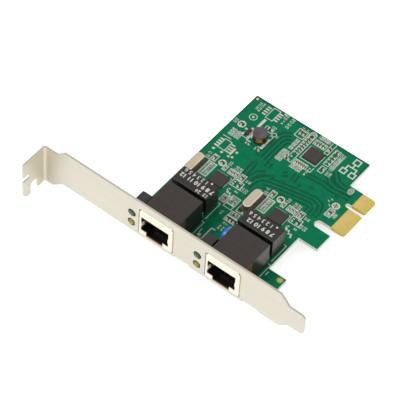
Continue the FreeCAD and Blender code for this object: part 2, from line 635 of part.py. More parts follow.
def module_leads(module_x):
    """Two rows of gull-wing leads along the long sides of a transformer module."""
    leads = []
    for index in range(MODULE_LEADS):
        centre_x = module_x + (index - (MODULE_LEADS - 1) / 2) * MODULE_LEAD_PITCH
        for side, wall_y in ((-1, MODULE_Y[0]), (1, MODULE_Y[1])):
            knee_y = wall_y + side * MODULE_LEAD_REACH[0]
            foot_z = MODULE_LEAD_THICK / 2
            path = [(wall_y, MODULE_LEAD_Z), (knee_y, MODULE_LEAD_Z), (knee_y, foot_z),
                    (wall_y + side * MODULE_LEAD_REACH[1], foot_z)]
            leads.append(folded("YZ", path, MODULE_LEAD_THICK, 0, spread(centre_x, MODULE_LEAD_WIDTH / 2)))
    return leads


def flat_chip(centre, side):
    """Moulded flat package with a small orientation dimple in its top."""
    body = box(spread(centre[0], side / 2), spread(centre[1], side / 2), (0, CHIP_HEIGHT))
    body = body.makeChamfer(CHIP_BEVEL, outer_edges(body, "Z", CHIP_HEIGHT))
    dimple = (centre[0] - side / 2 + DIMPLE_INSET, centre[1] + side / 2 - DIMPLE_INSET)
    return body.cut(round_bar(DIMPLE_RADIUS, dimple, (CHIP_HEIGHT - CHIP_BEVEL, CHIP_HEIGHT + 1)))


def stadium(centre, size, z_range):
    """An upright plate with fully rounded short ends, long axis along Y."""
    radius = size[0] / 2 - 0.01
    corners = rectangle(spread(centre[0], size[0] / 2), spread(centre[1], size[1] / 2), radius)
    return prism("XY", corners, z_range)


def crystal_can(centre):
    """Drawn metal cover of a crystal with its welded rim."""
    low_z = CRYSTAL_BASE_Z[1]
    cover = stadium(centre, CRYSTAL_CAN, (low_z, CRYSTAL_HEIGHT))
    cover = cover.makeChamfer(CRYSTAL_BEVEL, outer_edges(cover, "Z", CRYSTAL_HEIGHT))
    rim = stadium(centre, CRYSTAL_FLANGE, (low_z, low_z + CRYSTAL_FLANGE_THICK))
    return cover.fuse(rim).removeSplitter()


def crystal_base(centre):
    """Insulating plate under a crystal."""
    width, length = CRYSTAL_FLANGE
    return box(spread(centre[0], width / 2), spread(centre[1], length / 2), CRYSTAL_BASE_Z)


def crystal_leads(centre):
    """Two flat leads under the base that reach past its short ends."""
    leads = []
    for side in (-1, 1):
        ends = sorted(centre[1] + side * reach for reach in CRYSTAL_LEAD_SPAN)
        leads.append(box(spread(centre[0], CRYSTAL_LEAD_WIDTH / 2), ends, (0, CRYSTAL_BASE_Z[0])))
    return leads


def inductor_core():
    """Ferrite drum: foot, waist and top disc."""
    foot_z, waist_z = INDUCTOR_FOOT_Z
    disc_z, top_z = INDUCTOR_TOP_Z
    profile = [(0, foot_z), (INDUCTOR_RADIUS, foot_z), (INDUCTOR_RADIUS, waist_z),
               (INDUCTOR_WAIST_RADIUS, waist_z), (INDUCTOR_WAIST_RADIUS, disc_z), (INDUCTOR_RADIUS, disc_z),
               (INDUCTOR_RADIUS, top_z), (0, top_z)]
    return turned(profile, (*INDUCTOR_CENTRE, 0), (0, 0, 1))


def inductor_winding():
    """Copper winding round the waist of the drum."""
    low_z = INDUCTOR_FOOT_Z[1]
    high_z = INDUCTOR_TOP_Z[0]
    profile = [(INDUCTOR_WAIST_RADIUS, low_z), (INDUCTOR_WINDING_RADIUS, low_z),
               (INDUCTOR_WINDING_RADIUS, high_z), (INDUCTOR_WAIST_RADIUS, high_z)]
    return turned(profile, (*INDUCTOR_CENTRE, 0), (0, 0, 1))


def inductor_terminals():
    """Two plated terminals under the drum that reach past its foot."""
    centre_x, centre_y = INDUCTOR_CENTRE
    terminals = []
    for side in (-1, 1):
        along = sorted(centre_x + side * reach for reach in INDUCTOR_TERMINAL_X)
        terminals.append(box(along, spread(centre_y, INDUCTOR_TERMINAL_WIDTH / 2), (0, INDUCTOR_FOOT_Z[0])))
    return terminals


def transistor_body():
    """Small moulded three-lead body with sloped flanks."""
    centre_x, centre_y = TRANSISTOR_CENTRE
    flank = [(half, z, 0) for half, z in zip(TRANSISTOR_HALF_WIDTHS, TRANSISTOR_Z)]
    right = [(centre_x + half, z, radius) for half, z, radius in flank]
    left = [(centre_x - half, z, radius) for half, z, radius in flank]
    return prism("XZ", right + left[::-1], spread(centre_y, TRANSISTOR_LENGTH / 2))


def transistor_leads():
    """Three gull-wing leads, two on one side and one on the other."""
    centre_x, centre_y = TRANSISTOR_CENTRE
    leads = []
    for side, offset_y in ((-1, -0.95), (-1, 0.95), (1, 0)):
        wall_x = centre_x + side * TRANSISTOR_HALF_WIDTHS[1]
        knee_x = wall_x + side * 0.2
        path = [(wall_x, TRANSISTOR_Z[1]), (knee_x, TRANSISTOR_Z[1]), (knee_x, TRANSISTOR_LEAD / 2),
                (wall_x + side * 0.7, TRANSISTOR_LEAD / 2)]
        leads.append(folded("XZ", path, TRANSISTOR_LEAD, 0, spread(centre_y + offset_y, 0.22)))
    return leads


def disc_capacitor():
    """Dipped ceramic disc standing on edge, its coating drawn down a little way over both leads."""
    x, y, z = DISC_CENTRE
    half = DISC_THICK / 2
    profile = [(0, -half), (DISC_RADIUS * 0.8, -half), (DISC_RADIUS, -half * 0.4), (DISC_RADIUS, half * 0.4),
               (DISC_RADIUS * 0.8, half), (0, half)]
    disc = turned(profile, (x, y, z), (1, 0, 0))
    for side in (-1, 1):
        place = (x, y + side * DISC_LEAD_OFFSET_Y)
        disc = disc.fuse(eight_sided_cone(place, 0.4, 0.6, 0.65, 2.6))
    return disc.removeSplitter().cut(Part.makeCompound(disc_leads()))


def disc_leads():
    """Two leads of the disc capacitor."""
    x, y, z = DISC_CENTRE
    end_z = z - DISC_RADIUS * 0.6
    half = DISC_LEAD / 2
    return [box(spread(x, half), spread(y + side * DISC_LEAD_OFFSET_Y, half), (PIN_END_Z, end_z))
            for side in (-1, 1)]


# Chip parts, each (x, y, long axis along Y, size).
def near_chip(chip_x, offsets):
    """Places given from the centre of a flat chip."""
    return [(chip_x + across, PHY_Y + along, upright, size) for across, along, upright, size in offsets]


CAPACITORS_ROUND_PHY = [
    (-7.85, 7.6, True, SIZE_LARGE), (-1.85, 6.1, True, SIZE_SMALL), (0.85, 6.1, True, SIZE_SMALL),
    (2.25, 6.2, True, SIZE_SMALL), (3.55, 6.3, True, SIZE_SMALL), (6.05, 6.3, True, SIZE_LARGE),
    (5.05, 2.6, True, SIZE_SMALL), (-6.35, 2.3, True, SIZE_SMALL)]
RESISTORS_ROUND_PHY = [
    (-4.05, 7.4, True, SIZE_LARGE), (7.2, 2.7, True, SIZE_LARGE), (5.6, -1.4, True, SIZE_SMALL)]

CAPACITOR_PLACES = (
    near_chip(PHY_X, CAPACITORS_ROUND_PHY) + near_chip(PHY_X + PHY_PITCH, CAPACITORS_ROUND_PHY)
    + [(67.8, 66.0 + step * 1.45, False, SIZE_SMALL) for step in range(7)]
    + [(70.4 + step * 1.0, 62.5, True, SIZE_SMALL) for step in range(5)]
    + [(70.8 + step * 1.2, 74.8, True, SIZE_SMALL) for step in range(4)]
    + [(63.4, 75.1, True, SIZE_LARGE), (64.9, 75.1, True, SIZE_LARGE), (60.5, 31.5, True, SIZE_LARGE),
       (63.4, 31.9, True, SIZE_SMALL), (68.2, 27.5, False, SIZE_LARGE), (80.0, 75.4, False, SIZE_LARGE),
       (43.8, 64.0, True, SIZE_LARGE), (80.0, 69.5, False, SIZE_SMALL), (94.3, 55.6, False, SIZE_SMALL),
       (94.5, 54.3, False, SIZE_SMALL), (55.7, 57.6, False, SIZE_LARGE)])

RESISTOR_PLACES = (
    near_chip(PHY_X, RESISTORS_ROUND_PHY) + near_chip(PHY_X + PHY_PITCH, RESISTORS_ROUND_PHY)
    + [(67.3 + step * 1.45, 24.9, True, SIZE_LARGE) for step in range(3)]
    + [(66.9, 63.5, False, SIZE_SMALL), (66.9, 61.3, False, SIZE_LARGE), (64.8, 31.9, True, SIZE_SMALL),
       (67.4, 19.6, True, SIZE_SMALL), (68.9, 19.6, True, SIZE_SMALL), (76.4, 62.3, True, SIZE_SMALL),
       (76.4, 60.0, True, SIZE_SMALL), (76.8, 75.0, True, SIZE_LARGE), (80.0, 73.0, False, SIZE_SMALL),
       (80.0, 71.3, False, SIZE_SMALL), (80.1, 65.7, False, SIZE_LARGE), (55.2, 74.5, True, SIZE_SMALL),
       (53.8, 68.6, False, SIZE_LARGE), (51.2, 57.6, False, SIZE_SMALL), (94.6, 51.0, True, SIZE_LARGE)])


def chip_part(place):
    """Body and two end caps of one chip capacitor or resistor, lying on its pads."""
    x, y, upright, (length, width, height, cap) = place
    body_half = length / 2 - cap
    body = box(spread(0, body_half), spread(0, width / 2 - 0.02), (0.03, height - 0.03))
    caps = [box(sorted((side * body_half, side * length / 2)), spread(0, width / 2), (0, height))
            for side in (-1, 1)]
    for piece in [body] + caps:
        piece.rotate(Vector(0, 0, 0), Vector(0, 0, 1), 90 if upright else 0)
        piece.translate(Vector(x, y, 0))
    return body, caps


def build():
    """Write every part."""
    os.makedirs("parts", exist_ok=True)
    write("bracket", bracket())
    write("bracket_screws", *[bracket_screw(centre_x) for centre_x in FIXING_TAB_X])
    write("edge_contacts", *edge_contacts())

    leads = []
    for port in range(2):
        name = str(port + 1)
        jack_x = JACK_X + port * PORT_PITCH
        wires = jack_contacts(jack_x)
        shield = jack_shield(jack_x)
        write("jack_" + name + "_housing", jack_housing(jack_x))
        write("jack_" + name + "_contact_carrier", contact_carrier(jack_x))
        write("jack_" + name + "_contacts", *wires)
        write("jack_" + name + "_shield", shield)
        leads += wires + [shield]

        led_x = LED_X + port * LED_PORT_PITCH
        lamp_wires = led_leads(led_x)
        write("led_holder_" + name, led_holder(led_x))
        write("green_led_" + name, led(led_x, LED_GREEN_Z))
        write("yellow_led_" + name, led(led_x, LED_YELLOW_Z))
        write("led_leads_" + name, *lamp_wires)
        leads += lamp_wires

        module_x = MODULE_X + port * MODULE_PITCH
        write("magnetics_" + name + "_body", module_body(module_x))
        write("magnetics_" + name + "_leads", *module_leads(module_x))

        crystal = (CRYSTAL_X + port * CRYSTAL_PITCH, CRYSTAL_Y)
        write("crystal_" + name + "_can", crystal_can(crystal))
        write("crystal_" + name + "_base", crystal_base(crystal))
        write("crystal_" + name + "_leads", *crystal_leads(crystal))

        phy = (PHY_X + port * PHY_PITCH, PHY_Y)
        write("phy_chip_" + name, flat_chip(phy, PHY_SIDE))

    write("switch_chip", flat_chip(SWITCH_CENTRE, SWITCH_SIDE))
    write("inductor_core", inductor_core())
    write("inductor_winding", inductor_winding())
    write("inductor_terminals", *inductor_terminals())
    write("transistor_body", transistor_body())
    write("transistor_leads", *transistor_leads())
    write("disc_capacitor_body", disc_capacitor())
    write("disc_capacitor_leads", *disc_leads())
    leads += disc_leads()

    capacitors = [chip_part(place) for place in CAPACITOR_PLACES]
    resistors = [chip_part(place) for place in RESISTOR_PLACES]
    write("chip_capacitors", *[body for body, caps in capacitors])
    write("chip_resistors", *[body for body, caps in resistors])
    write("chip_end_caps", *[cap for body, caps in capacitors + resistors for cap in caps])
    all_leads = Part.makeCompound(leads)
    write("circuit_board", circuit_board(all_leads))
    write("solder_joints", *solder_joints(all_leads))


build()
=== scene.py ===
import json
import math

import bmesh
import bpy
from mathutils import Matrix, Vector


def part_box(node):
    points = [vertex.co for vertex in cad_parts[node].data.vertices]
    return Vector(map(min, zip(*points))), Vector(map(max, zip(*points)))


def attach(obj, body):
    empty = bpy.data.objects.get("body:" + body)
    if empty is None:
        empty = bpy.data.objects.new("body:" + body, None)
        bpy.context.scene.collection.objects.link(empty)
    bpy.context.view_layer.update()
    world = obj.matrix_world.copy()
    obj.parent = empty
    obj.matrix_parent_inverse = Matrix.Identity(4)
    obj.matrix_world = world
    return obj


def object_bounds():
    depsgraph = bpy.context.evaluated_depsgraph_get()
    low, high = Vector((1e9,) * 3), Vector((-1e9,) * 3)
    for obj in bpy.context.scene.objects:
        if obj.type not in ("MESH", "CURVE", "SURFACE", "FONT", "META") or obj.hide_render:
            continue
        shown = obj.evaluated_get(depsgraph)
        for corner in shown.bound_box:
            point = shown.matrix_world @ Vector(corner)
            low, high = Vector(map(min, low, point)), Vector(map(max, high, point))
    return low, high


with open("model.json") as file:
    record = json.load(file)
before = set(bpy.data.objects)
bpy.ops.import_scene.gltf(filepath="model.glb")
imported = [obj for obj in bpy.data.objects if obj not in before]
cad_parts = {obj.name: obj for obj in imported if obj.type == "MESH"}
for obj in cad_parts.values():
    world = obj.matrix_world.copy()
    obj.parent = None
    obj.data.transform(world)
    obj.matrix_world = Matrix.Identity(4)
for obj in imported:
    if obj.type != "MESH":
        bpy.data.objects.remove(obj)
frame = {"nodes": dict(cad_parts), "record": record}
cad_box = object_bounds()

MM = 0.001
NODES = frame["nodes"]
BOARD_EDGE_Y = 3.4 * MM
ORIGIN = Vector((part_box("bracket")[0].x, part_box("circuit_board")[0].y - BOARD_EDGE_Y, 0))


def spot(x, y, z=0.0):
    """A place given in millimetres from the bracket tab, the strip face and the board's upper face."""
    return ORIGIN + Vector((x, y, z)) * MM


# ---------------------------------------------------------------- camera

CAMERA_AIM = Vector((-50.5, -33.0, 0.0)) * MM
CAMERA_DISTANCE = 944.4 * MM
CAMERA_AZIMUTH = 34.96
CAMERA_ELEVATION = 51.45
CAMERA_ROLL = 4.0
CAMERA_LENS = 231.1


def add_camera():
    """A long lens that looks down on the card from beyond the narrow end of its bracket."""
    azimuth = math.radians(CAMERA_AZIMUTH)
    elevation = math.radians(CAMERA_ELEVATION)
    roll = math.radians(CAMERA_ROLL)
    back = Vector((math.sin(azimuth) * math.cos(elevation), -math.cos(azimuth) * math.cos(elevation),
                   math.sin(elevation)))
    level = Vector((math.cos(azimuth), math.sin(azimuth), 0))
    right = level * math.cos(roll) + back.cross(level) * math.sin(roll)
    camera = bpy.data.objects.new("camera", bpy.data.cameras.new("camera"))
    camera.data.lens = CAMERA_LENS
    camera.data.sensor_width = 36
    camera.data.clip_start = 0.01
    camera.data.clip_end = 20
    axes = Matrix((right, back.cross(right), back)).transposed()
    camera.matrix_world = Matrix.Translation(CAMERA_AIM + back * CAMERA_DISTANCE) @ axes.to_4x4()
    bpy.context.scene.collection.objects.link(camera)
    bpy.context.scene.camera = camera


# ---------------------------------------------------------------- materials

def srgb(red, green, blue):
    """Linear colour of an 8-bit screen colour."""
    def linear(value):
        value /= 255
        return value / 12.92 if value <= 0.04045 else ((value + 0.055) / 1.055) ** 2.4
    return (linear(red), linear(green), linear(blue), 1.0)


def new_material(name):
    """An empty node material with its shader and output linked."""
    material = bpy.data.materials.new(name)
    material.use_nodes = True
    tree = material.node_tree
    tree.nodes.clear()
    shader = tree.nodes.new("ShaderNodeBsdfPrincipled")
    output = tree.nodes.new("ShaderNodeOutputMaterial")
    tree.links.new(shader.outputs["BSDF"], output.inputs["Surface"])
    return material, tree, shader


def plug(tree, socket, value):
    """Feeds a socket from another socket, or sets it to a plain value."""
    if isinstance(value, bpy.types.NodeSocket):
        tree.links.new(value, socket)
    else:
        socket.default_value = value


def noise(tree, scale, detail, stretch):
    """A noise pattern in object space, scale in cells a metre, stretched along the axes."""
    place = tree.nodes.new("ShaderNodeTexCoord")
    mapping = tree.nodes.new("ShaderNodeMapping")
    mapping.inputs["Scale"].default_value = stretch
    pattern = tree.nodes.new("ShaderNodeTexNoise")
    pattern.inputs["Scale"].default_value = scale
    pattern.inputs["Detail"].default_value = detail
    tree.links.new(place.outputs["Object"], mapping.inputs["Vector"])
    tree.links.new(mapping.outputs["Vector"], pattern.inputs["Vector"])
    return pattern.outputs["Fac"]


def ramp(tree, source, low, high, start=0.35, end=0.65):
    """Maps a pattern from start..end to low..high."""
    spread = tree.nodes.new("ShaderNodeMapRange")
    spread.inputs["From Min"].default_value = start
    spread.inputs["From Max"].default_value = end
    spread.inputs["To Min"].default_value = low
    spread.inputs["To Max"].default_value = high
    tree.links.new(source, spread.inputs["Value"])
    return spread.outputs["Result"]


def arithmetic(tree, operation, first, second=0.0):
    """One sum, product or comparison of two values or sockets."""
    node = tree.nodes.new("ShaderNodeMath")
    node.operation = operation
    plug(tree, node.inputs[0], first)
    plug(tree, node.inputs[1], second)
    return node.outputs[0]


def blend(tree, factor, first, second):
    """A colour between two colours, each a socket or four numbers."""
    mix = tree.nodes.new("ShaderNodeMix")
    mix.data_type = "RGBA"
    plug(tree, mix.inputs["Factor"], factor)
    plug(tree, mix.inputs["A"], first)
    plug(tree, mix.inputs["B"], second)
    return mix.outputs["Result"]


def split(tree, vector):
    """X, Y and Z of a vector socket."""
    node = tree.nodes.new("ShaderNodeSeparateXYZ")
    tree.links.new(vector, node.inputs[0])
    return node.outputs


def position(tree):
    """X, Y and Z of the place on the object, in metres."""
    return split(tree, tree.nodes.new("ShaderNodeTexCoord").outputs["Object"])


def facing(tree):
    """X, Y and Z of the surface normal."""
    return split(tree, tree.nodes.new("ShaderNodeNewGeometry").outputs["Normal"])


def shaded(colour, factor):
    """A colour made lighter or darker."""
    return tuple(min(1.0, part * factor) for part in colour[:3]) + (1.0,)


CLOUD_SCALE = 0.15
CLOUD_DETAIL = 3.0
FINE_DETAIL = 5.0
GLOSS_SPREAD = 0.15
RELIEF_DEPTH = 0.0002
COAT_ROUGHNESS = 0.08


def surface(name, colour, roughness, metallic=0.0, specular=0.5, grain=900, vary=0.12, bump=0.05,
            stretch=(1, 1, 1), coat=0.0, tone=None):
    """A surface with a mottled colour, uneven gloss and fine relief; tone changes the colour by place."""
    material, tree, shader = new_material(name)
    cloudy = noise(tree, grain * CLOUD_SCALE, CLOUD_DETAIL, stretch)
    fine = noise(tree, grain, FINE_DETAIL, stretch)
    tint = blend(tree, ramp(tree, cloudy, 0.0, 1.0), shaded(colour, 1 - vary), shaded(colour, 1 + vary))
    if tone:
        tint = tone(tree, tint)
    tree.links.new(tint, shader.inputs["Base Color"])
    gloss = ramp(tree, fine, roughness * (1 - GLOSS_SPREAD), roughness * (1 + GLOSS_SPREAD))
    tree.links.new(gloss, shader.inputs["Roughness"])
    relief = tree.nodes.new("ShaderNodeBump")
    relief.inputs["Strength"].default_value = bump
    relief.inputs["Distance"].default_value = RELIEF_DEPTH
    tree.links.new(fine, relief.inputs["Height"])
    tree.links.new(relief.outputs["Normal"], shader.inputs["Normal"])
    shader.inputs["Metallic"].default_value = metallic
    shader.inputs["Specular IOR Level"].default_value = specular
    shader.inputs["Coat Weight"].default_value = coat
    shader.inputs["Coat Roughness"].default_value = COAT_ROUGHNESS
    return material


# where tones change and to what, with tilts as parts of the surface normal: first the bracket
BEND_LINE = spot(0, 0)
# painted shade on the plating near the bend, fading out along a slant
BEND_SHADE_SLANT = (1.0, -0.75, -0.25)
BEND_SHADE_REACH = (3.5 * MM, 9.5 * MM)
BEND_SHADE = srgb(215, 207, 186)
# a painted highlight along the rounded fold of the bend
FOLD_HIGHLIGHT_SLANT = (1.0, -1.0, 0.0)
FOLD_HIGHLIGHT_REACH = (1.6 * MM, 2.1 * MM)
FOLD_HIGHLIGHT = srgb(236, 228, 210)
SHEARED_TILT = (0.3, 0.6)
CUT_STEEL = srgb(194, 188, 170)

# the circuit board
EDGE_TILT = 0.5
LAMINATE_START = spot(98.8, 45.7)
LAMINATE_GOLD = srgb(218, 197, 99)
LAMINATE_EDGE = srgb(241, 244, 228)

# the jacks, modules and shields
# painted shade on the upright sides of the jack and module plastic
SIDE_TILT = (0.2, 0.6)
SIDE_SHADE = srgb(26, 26, 20)
PORT_MIDDLES = (spot(52.9, 0).x, spot(83.38, 0).x)
CAVITY_HALF = 6.45 * MM
CAVITY_TOP = 10.3 * MM
CAVITY_FRONT = spot(0, 0.15).y
CAVITY_BACK = spot(0, 15.5).y
CAVITY_SHADE = srgb(22, 19, 18)
# painted shade and reflection on the shield wings behind the bracket, and painted shade on the ledge beyond
# its front edge
WING_Y = (BEND_LINE.y + 0.9 * MM, BEND_LINE.y + 1.3 * MM)
SHIELD_SHADE = srgb(96, 80, 50)
LEDGE_TOP = 2.0 * MM
LEDGE_TILT = (0.3, 0.7)
LEDGE_Y = (BEND_LINE.y - 0.1 * MM, BEND_LINE.y + 0.5 * MM)
LEDGE_BROWN = srgb(190, 150, 92)

# the crystal cans, lamps and inductor
# painted highlight on the rounded rim of the crystal cans, painted shade on their sides and flange
CAN_RIM_TILT = (0.9, 0.98)
CAN_RIM_HIGHLIGHT = srgb(250, 242, 215)
CAN_SIDE_TILT = (0.15, 0.45)
CAN_SIDE_SHADE = srgb(106, 94, 74)
CAN_FLANGE_Z = (0.9 * MM, 1.3 * MM)
CAN_FLANGE_SHADE = srgb(98, 84, 62)
# painted shade towards the rim of the lamp lenses
LENS_TILT = (-0.7, -0.25)
LENS_RIM_MIX = 0.2
LENS_RIM_SHADE = (0.01, 0.02, 0.01, 1.0)
# painted shade on the inductor's foot, low down by the board
FERRITE_FOOT_Z = (1.0 * MM, 1.6 * MM)
FERRITE_FOOT_SHADE = srgb(34, 29, 27)
WIRE_TURN = 0.35 * MM
WIRE_GAP_WAVE = (-0.6, 0.2)
WIRE_GAP = srgb(96, 52, 20)
# a painted highlight on the winding where it faces the front, and painted shade elsewhere
WIRE_HIGHLIGHT_FACING = (0.45, -0.89, 0.0)
WIRE_HIGHLIGHT_TILT = (0.78, 0.97)
WIRE_SHADE = srgb(52, 36, 26)


def climb(tree, value, limits):
    """0 below the lower limit, 1 above the upper one and even between them."""
    return ramp(tree, value, 0.0, 1.0, *limits)


def both(tree, *conditions):
    """1 where every condition is 1."""
    result = conditions[0]
    for condition in conditions[1:]:
        result = arithmetic(tree, "MULTIPLY", result, condition)
    return result


def weighted(tree, places, weights):
    """The sum of three place values, each times its weight."""
    terms = [arithmetic(tree, "MULTIPLY", place, weight) for place, weight in zip(places, weights)]
    return arithmetic(tree, "ADD", arithmetic(tree, "ADD", terms[0], terms[1]), terms[2])


def within(tree, value, centre, half):
    """1 where a value lies within a half width of a centre."""
    away = arithmetic(tree, "ABSOLUTE", arithmetic(tree, "SUBTRACT", value, centre))
    return arithmetic(tree, "LESS_THAN", away, half)


def near_bend(tree, slant, reach):
    """1 near the bend of the bracket and 0 beyond the reach, measured along a slant."""
    start = sum(place * weight for place, weight in zip(BEND_LINE, slant))
    return ramp(tree, weighted(tree, position(tree), slant), 1.0, 0.0, start + reach[0], start + reach[1])


def bracket_tone(tree, plate):
    """Painted shade on the plating near the bend, with a slanted limit, a painted highlight along the fold,
    and burnished cut edges.
    """
    toned = blend(tree, near_bend(tree, BEND_SHADE_SLANT, BEND_SHADE_REACH), plate, BEND_SHADE)
    toned = blend(tree, near_bend(tree, FOLD_HIGHLIGHT_SLANT, FOLD_HIGHLIGHT_REACH), toned, FOLD_HIGHLIGHT)
    return blend(tree, climb(tree, facing(tree)["Z"], SHEARED_TILT), toned, CUT_STEEL)


def board_tone(tree, mask):
    """Green mask on the faces, bare laminate on the cut edges and under the connector contacts."""
    x, y, z = position(tree)
    upright = arithmetic(tree, "ABSOLUTE", facing(tree)["Z"])
    edge = arithmetic(tree, "LESS_THAN", upright, EDGE_TILT)
    bare = both(tree, arithmetic(tree, "GREATER_THAN", x, LAMINATE_START.x),
                arithmetic(tree, "GREATER_THAN", y, LAMINATE_START.y))
    faces = blend(tree, bare, mask, LAMINATE_GOLD)
    rim = blend(tree, bare, LAMINATE_EDGE, LAMINATE_GOLD)
    return blend(tree, edge, faces, rim)


def side_tone(tree, plastic):
    """Painted shade: plastic darker on its upright sides than on its top."""
    return blend(tree, climb(tree, facing(tree)["Z"], SIDE_TILT), SIDE_SHADE, plastic)


def jack_tone(tree, plastic):
    """Darker sides, and deep shade inside the two plug cavities."""
    x, y, z = position(tree)
    either = arithmetic(tree, "MAXIMUM", within(tree, x, PORT_MIDDLES[0], CAVITY_HALF),
                        within(tree, x, PORT_MIDDLES[1], CAVITY_HALF))
    inside = both(tree, either, arithmetic(tree, "LESS_THAN", z, CAVITY_TOP),
                  arithmetic(tree, "LESS_THAN", y, CAVITY_BACK),
                  arithmetic(tree, "GREATER_THAN", y, CAVITY_FRONT))
    return blend(tree, inside, side_tone(tree, plastic), CAVITY_SHADE)


def shield_tone(tree, steel):
    """Painted shade and reflection on the shield wings behind the bracket, dark brown above the ledge height
    and near-black below it; on the ledge under the plug an orange-brown band at the front edge, fading to
    painted shade.
    """
    x, y, z = position(tree)
    low = arithmetic(tree, "LESS_THAN", z, LEDGE_TOP)
    ledge = both(tree, low, climb(tree, facing(tree)["Z"], LEDGE_TILT))
    front = blend(tree, ledge, steel, blend(tree, climb(tree, y, LEDGE_Y), LEDGE_BROWN, CAVITY_SHADE))
    return blend(tree, climb(tree, y, WING_Y), front, blend(tree, low, SHIELD_SHADE, CAVITY_SHADE))


def can_tone(tree, top):
    """A crystal can with painted shade on its sides and flange, and a painted highlight on its rounded rim.
    """
    upward = facing(tree)["Z"]
    rim = blend(tree, climb(tree, upward, CAN_RIM_TILT), CAN_RIM_HIGHLIGHT, top)
    can = blend(tree, climb(tree, upward, CAN_SIDE_TILT), CAN_SIDE_SHADE, rim)
    return blend(tree, climb(tree, position(tree)["Z"], CAN_FLANGE_Z), CAN_FLANGE_SHADE, can)


def lens_tone(tree, clear):
    """A lamp lens with painted shade towards its rim, where the lens curves back."""
    return blend(tree, ramp(tree, facing(tree)["Y"], 1.0, LENS_RIM_MIX, *LENS_TILT), LENS_RIM_SHADE, clear)


def ferrite_tone(tree, ferrite):
    """Painted shade: a darker foot under the winding."""
    return blend(tree, climb(tree, position(tree)["Z"], FERRITE_FOOT_Z), FERRITE_FOOT_SHADE, ferrite)


def winding_tone(tree, copper):
    """Turns of wire, dark in the gaps between them, with painted shade everywhere but a painted highlight on
    the side facing the front.
    """
    height = arithmetic(tree, "MULTIPLY", position(tree)["Z"], 2 * math.pi / WIRE_TURN)
    wave = arithmetic(tree, "SINE", height)
    wire = blend(tree, climb(tree, wave, WIRE_GAP_WAVE), WIRE_GAP, copper)
    front = climb(tree, weighted(tree, facing(tree), WIRE_HIGHLIGHT_FACING), WIRE_HIGHLIGHT_TILT)
    return blend(tree, front, WIRE_SHADE, wire)


# the look of each slot of the record, then of what only this file makes
LOOKS = {
    "bracket_steel": dict(colour=srgb(229, 223, 208), roughness=0.45, metallic=0.2, grain=2500, vary=0.015,
                          bump=0.03, stretch=(0.12, 1, 1), tone=bracket_tone),
    "screw_steel": dict(colour=srgb(200, 198, 190), roughness=0.3, metallic=0.9),
    "solder_mask": dict(colour=srgb(0, 120, 81), roughness=0.4, specular=0.1, grain=3000, vary=0.1, bump=0.03,
                        tone=board_tone),
    "gold": dict(colour=srgb(221, 190, 123), roughness=0.35, metallic=0.5, vary=0.05),
    "chip_plastic": dict(colour=srgb(59, 52, 49), roughness=0.5, specular=0.35, grain=4000, bump=0.12),
    "ferrite": dict(colour=srgb(86, 79, 80), roughness=0.65, grain=3000, vary=0.25, bump=0.15,
                    tone=ferrite_tone),
    "copper": dict(colour=srgb(255, 178, 84), roughness=0.25, metallic=0.4, grain=3000, tone=winding_tone),
    "tin": dict(colour=srgb(214, 211, 196), roughness=0.4, metallic=0.25),
    "blue_epoxy": dict(colour=srgb(32, 140, 232), roughness=0.3, coat=0.2, vary=0.08),
    "capacitor_ceramic": dict(colour=srgb(110, 66, 44), roughness=0.5, grain=3000),
    "resistor_black": dict(colour=srgb(40, 34, 32), roughness=0.4, grain=3000),
    "solder": dict(colour=srgb(200, 200, 198), roughness=0.25, metallic=0.9),
    "jack_plastic": dict(colour=srgb(54, 46, 41), roughness=0.35, specular=0.35, grain=3500, bump=0.08,
                         tone=jack_tone),
    "shield_steel": dict(colour=srgb(252, 246, 228), roughness=0.35, metallic=0.3, grain=2500, vary=0.03,
                         tone=shield_tone),
    "holder_plastic": dict(colour=srgb(44, 40, 38), roughness=0.4, specular=0.4, grain=3500),
    "green_lens": dict(colour=srgb(28, 94, 58), roughness=0.3, specular=0.25, coat=0.1, vary=0.05,
                       tone=lens_tone),
    "yellow_lens": dict(colour=srgb(154, 148, 34), roughness=0.3, specular=0.25, coat=0.1, vary=0.05,
                        tone=lens_tone),
    "module_plastic": dict(colour=srgb(40, 36, 33), roughness=0.32, specular=0.35, grain=3500,
                           tone=side_tone),
    "can_metal": dict(colour=srgb(208, 194, 166), roughness=0.4, metallic=0.2, vary=0.04, tone=can_tone),
    "base_plastic": dict(colour=srgb(40, 38, 36), roughness=0.5),
    "bare_mask": dict(colour=srgb(0, 120, 81), roughness=0.4, specular=0.1, grain=3000, vary=0.1, bump=0.03),
    "dark_mask": dict(colour=srgb(12, 89, 61), roughness=0.42, specular=0.1, grain=1500, vary=0.08,
                      bump=0.03),
    "white_ink": dict(colour=srgb(220, 224, 211), roughness=0.6, specular=0.2, grain=6000, vary=0.04),
    "thin_ink": dict(colour=srgb(128, 159, 138), roughness=0.6, specular=0.2, grain=5000, vary=0.3),
    "laminate": dict(colour=srgb(70, 60, 40), roughness=0.5, specular=0.3, grain=3000),
    "bare_land": dict(colour=srgb(186, 152, 140), roughness=0.45, metallic=0.2, grain=3000),
    "pale_ring": dict(colour=srgb(146, 182, 96), roughness=0.5, specular=0.3, grain=3000),
    "pale_land": dict(colour=srgb(206, 203, 116), roughness=0.45, metallic=0.2, grain=3000),
}
MATERIALS = {name: surface(name, **look) for name, look in LOOKS.items()}


def dress_nodes():
    """Puts the procedural material of its slot on each CAD node."""
    for part in frame["record"]["subparts"]:
        slots = NODES[part["node"]].data.materials
        slots.clear()
        slots.append(MATERIALS[part["material_slot"]])


# ---------------------------------------------------------------- flat layers

CAPITAL_HEIGHT = 0.7
LABEL_WEIGHT = 0.03
RISE = 0.0002
MITRE_LIMIT = 0.3
ROUND_SIDES = 20
OVAL_SIDES = 24


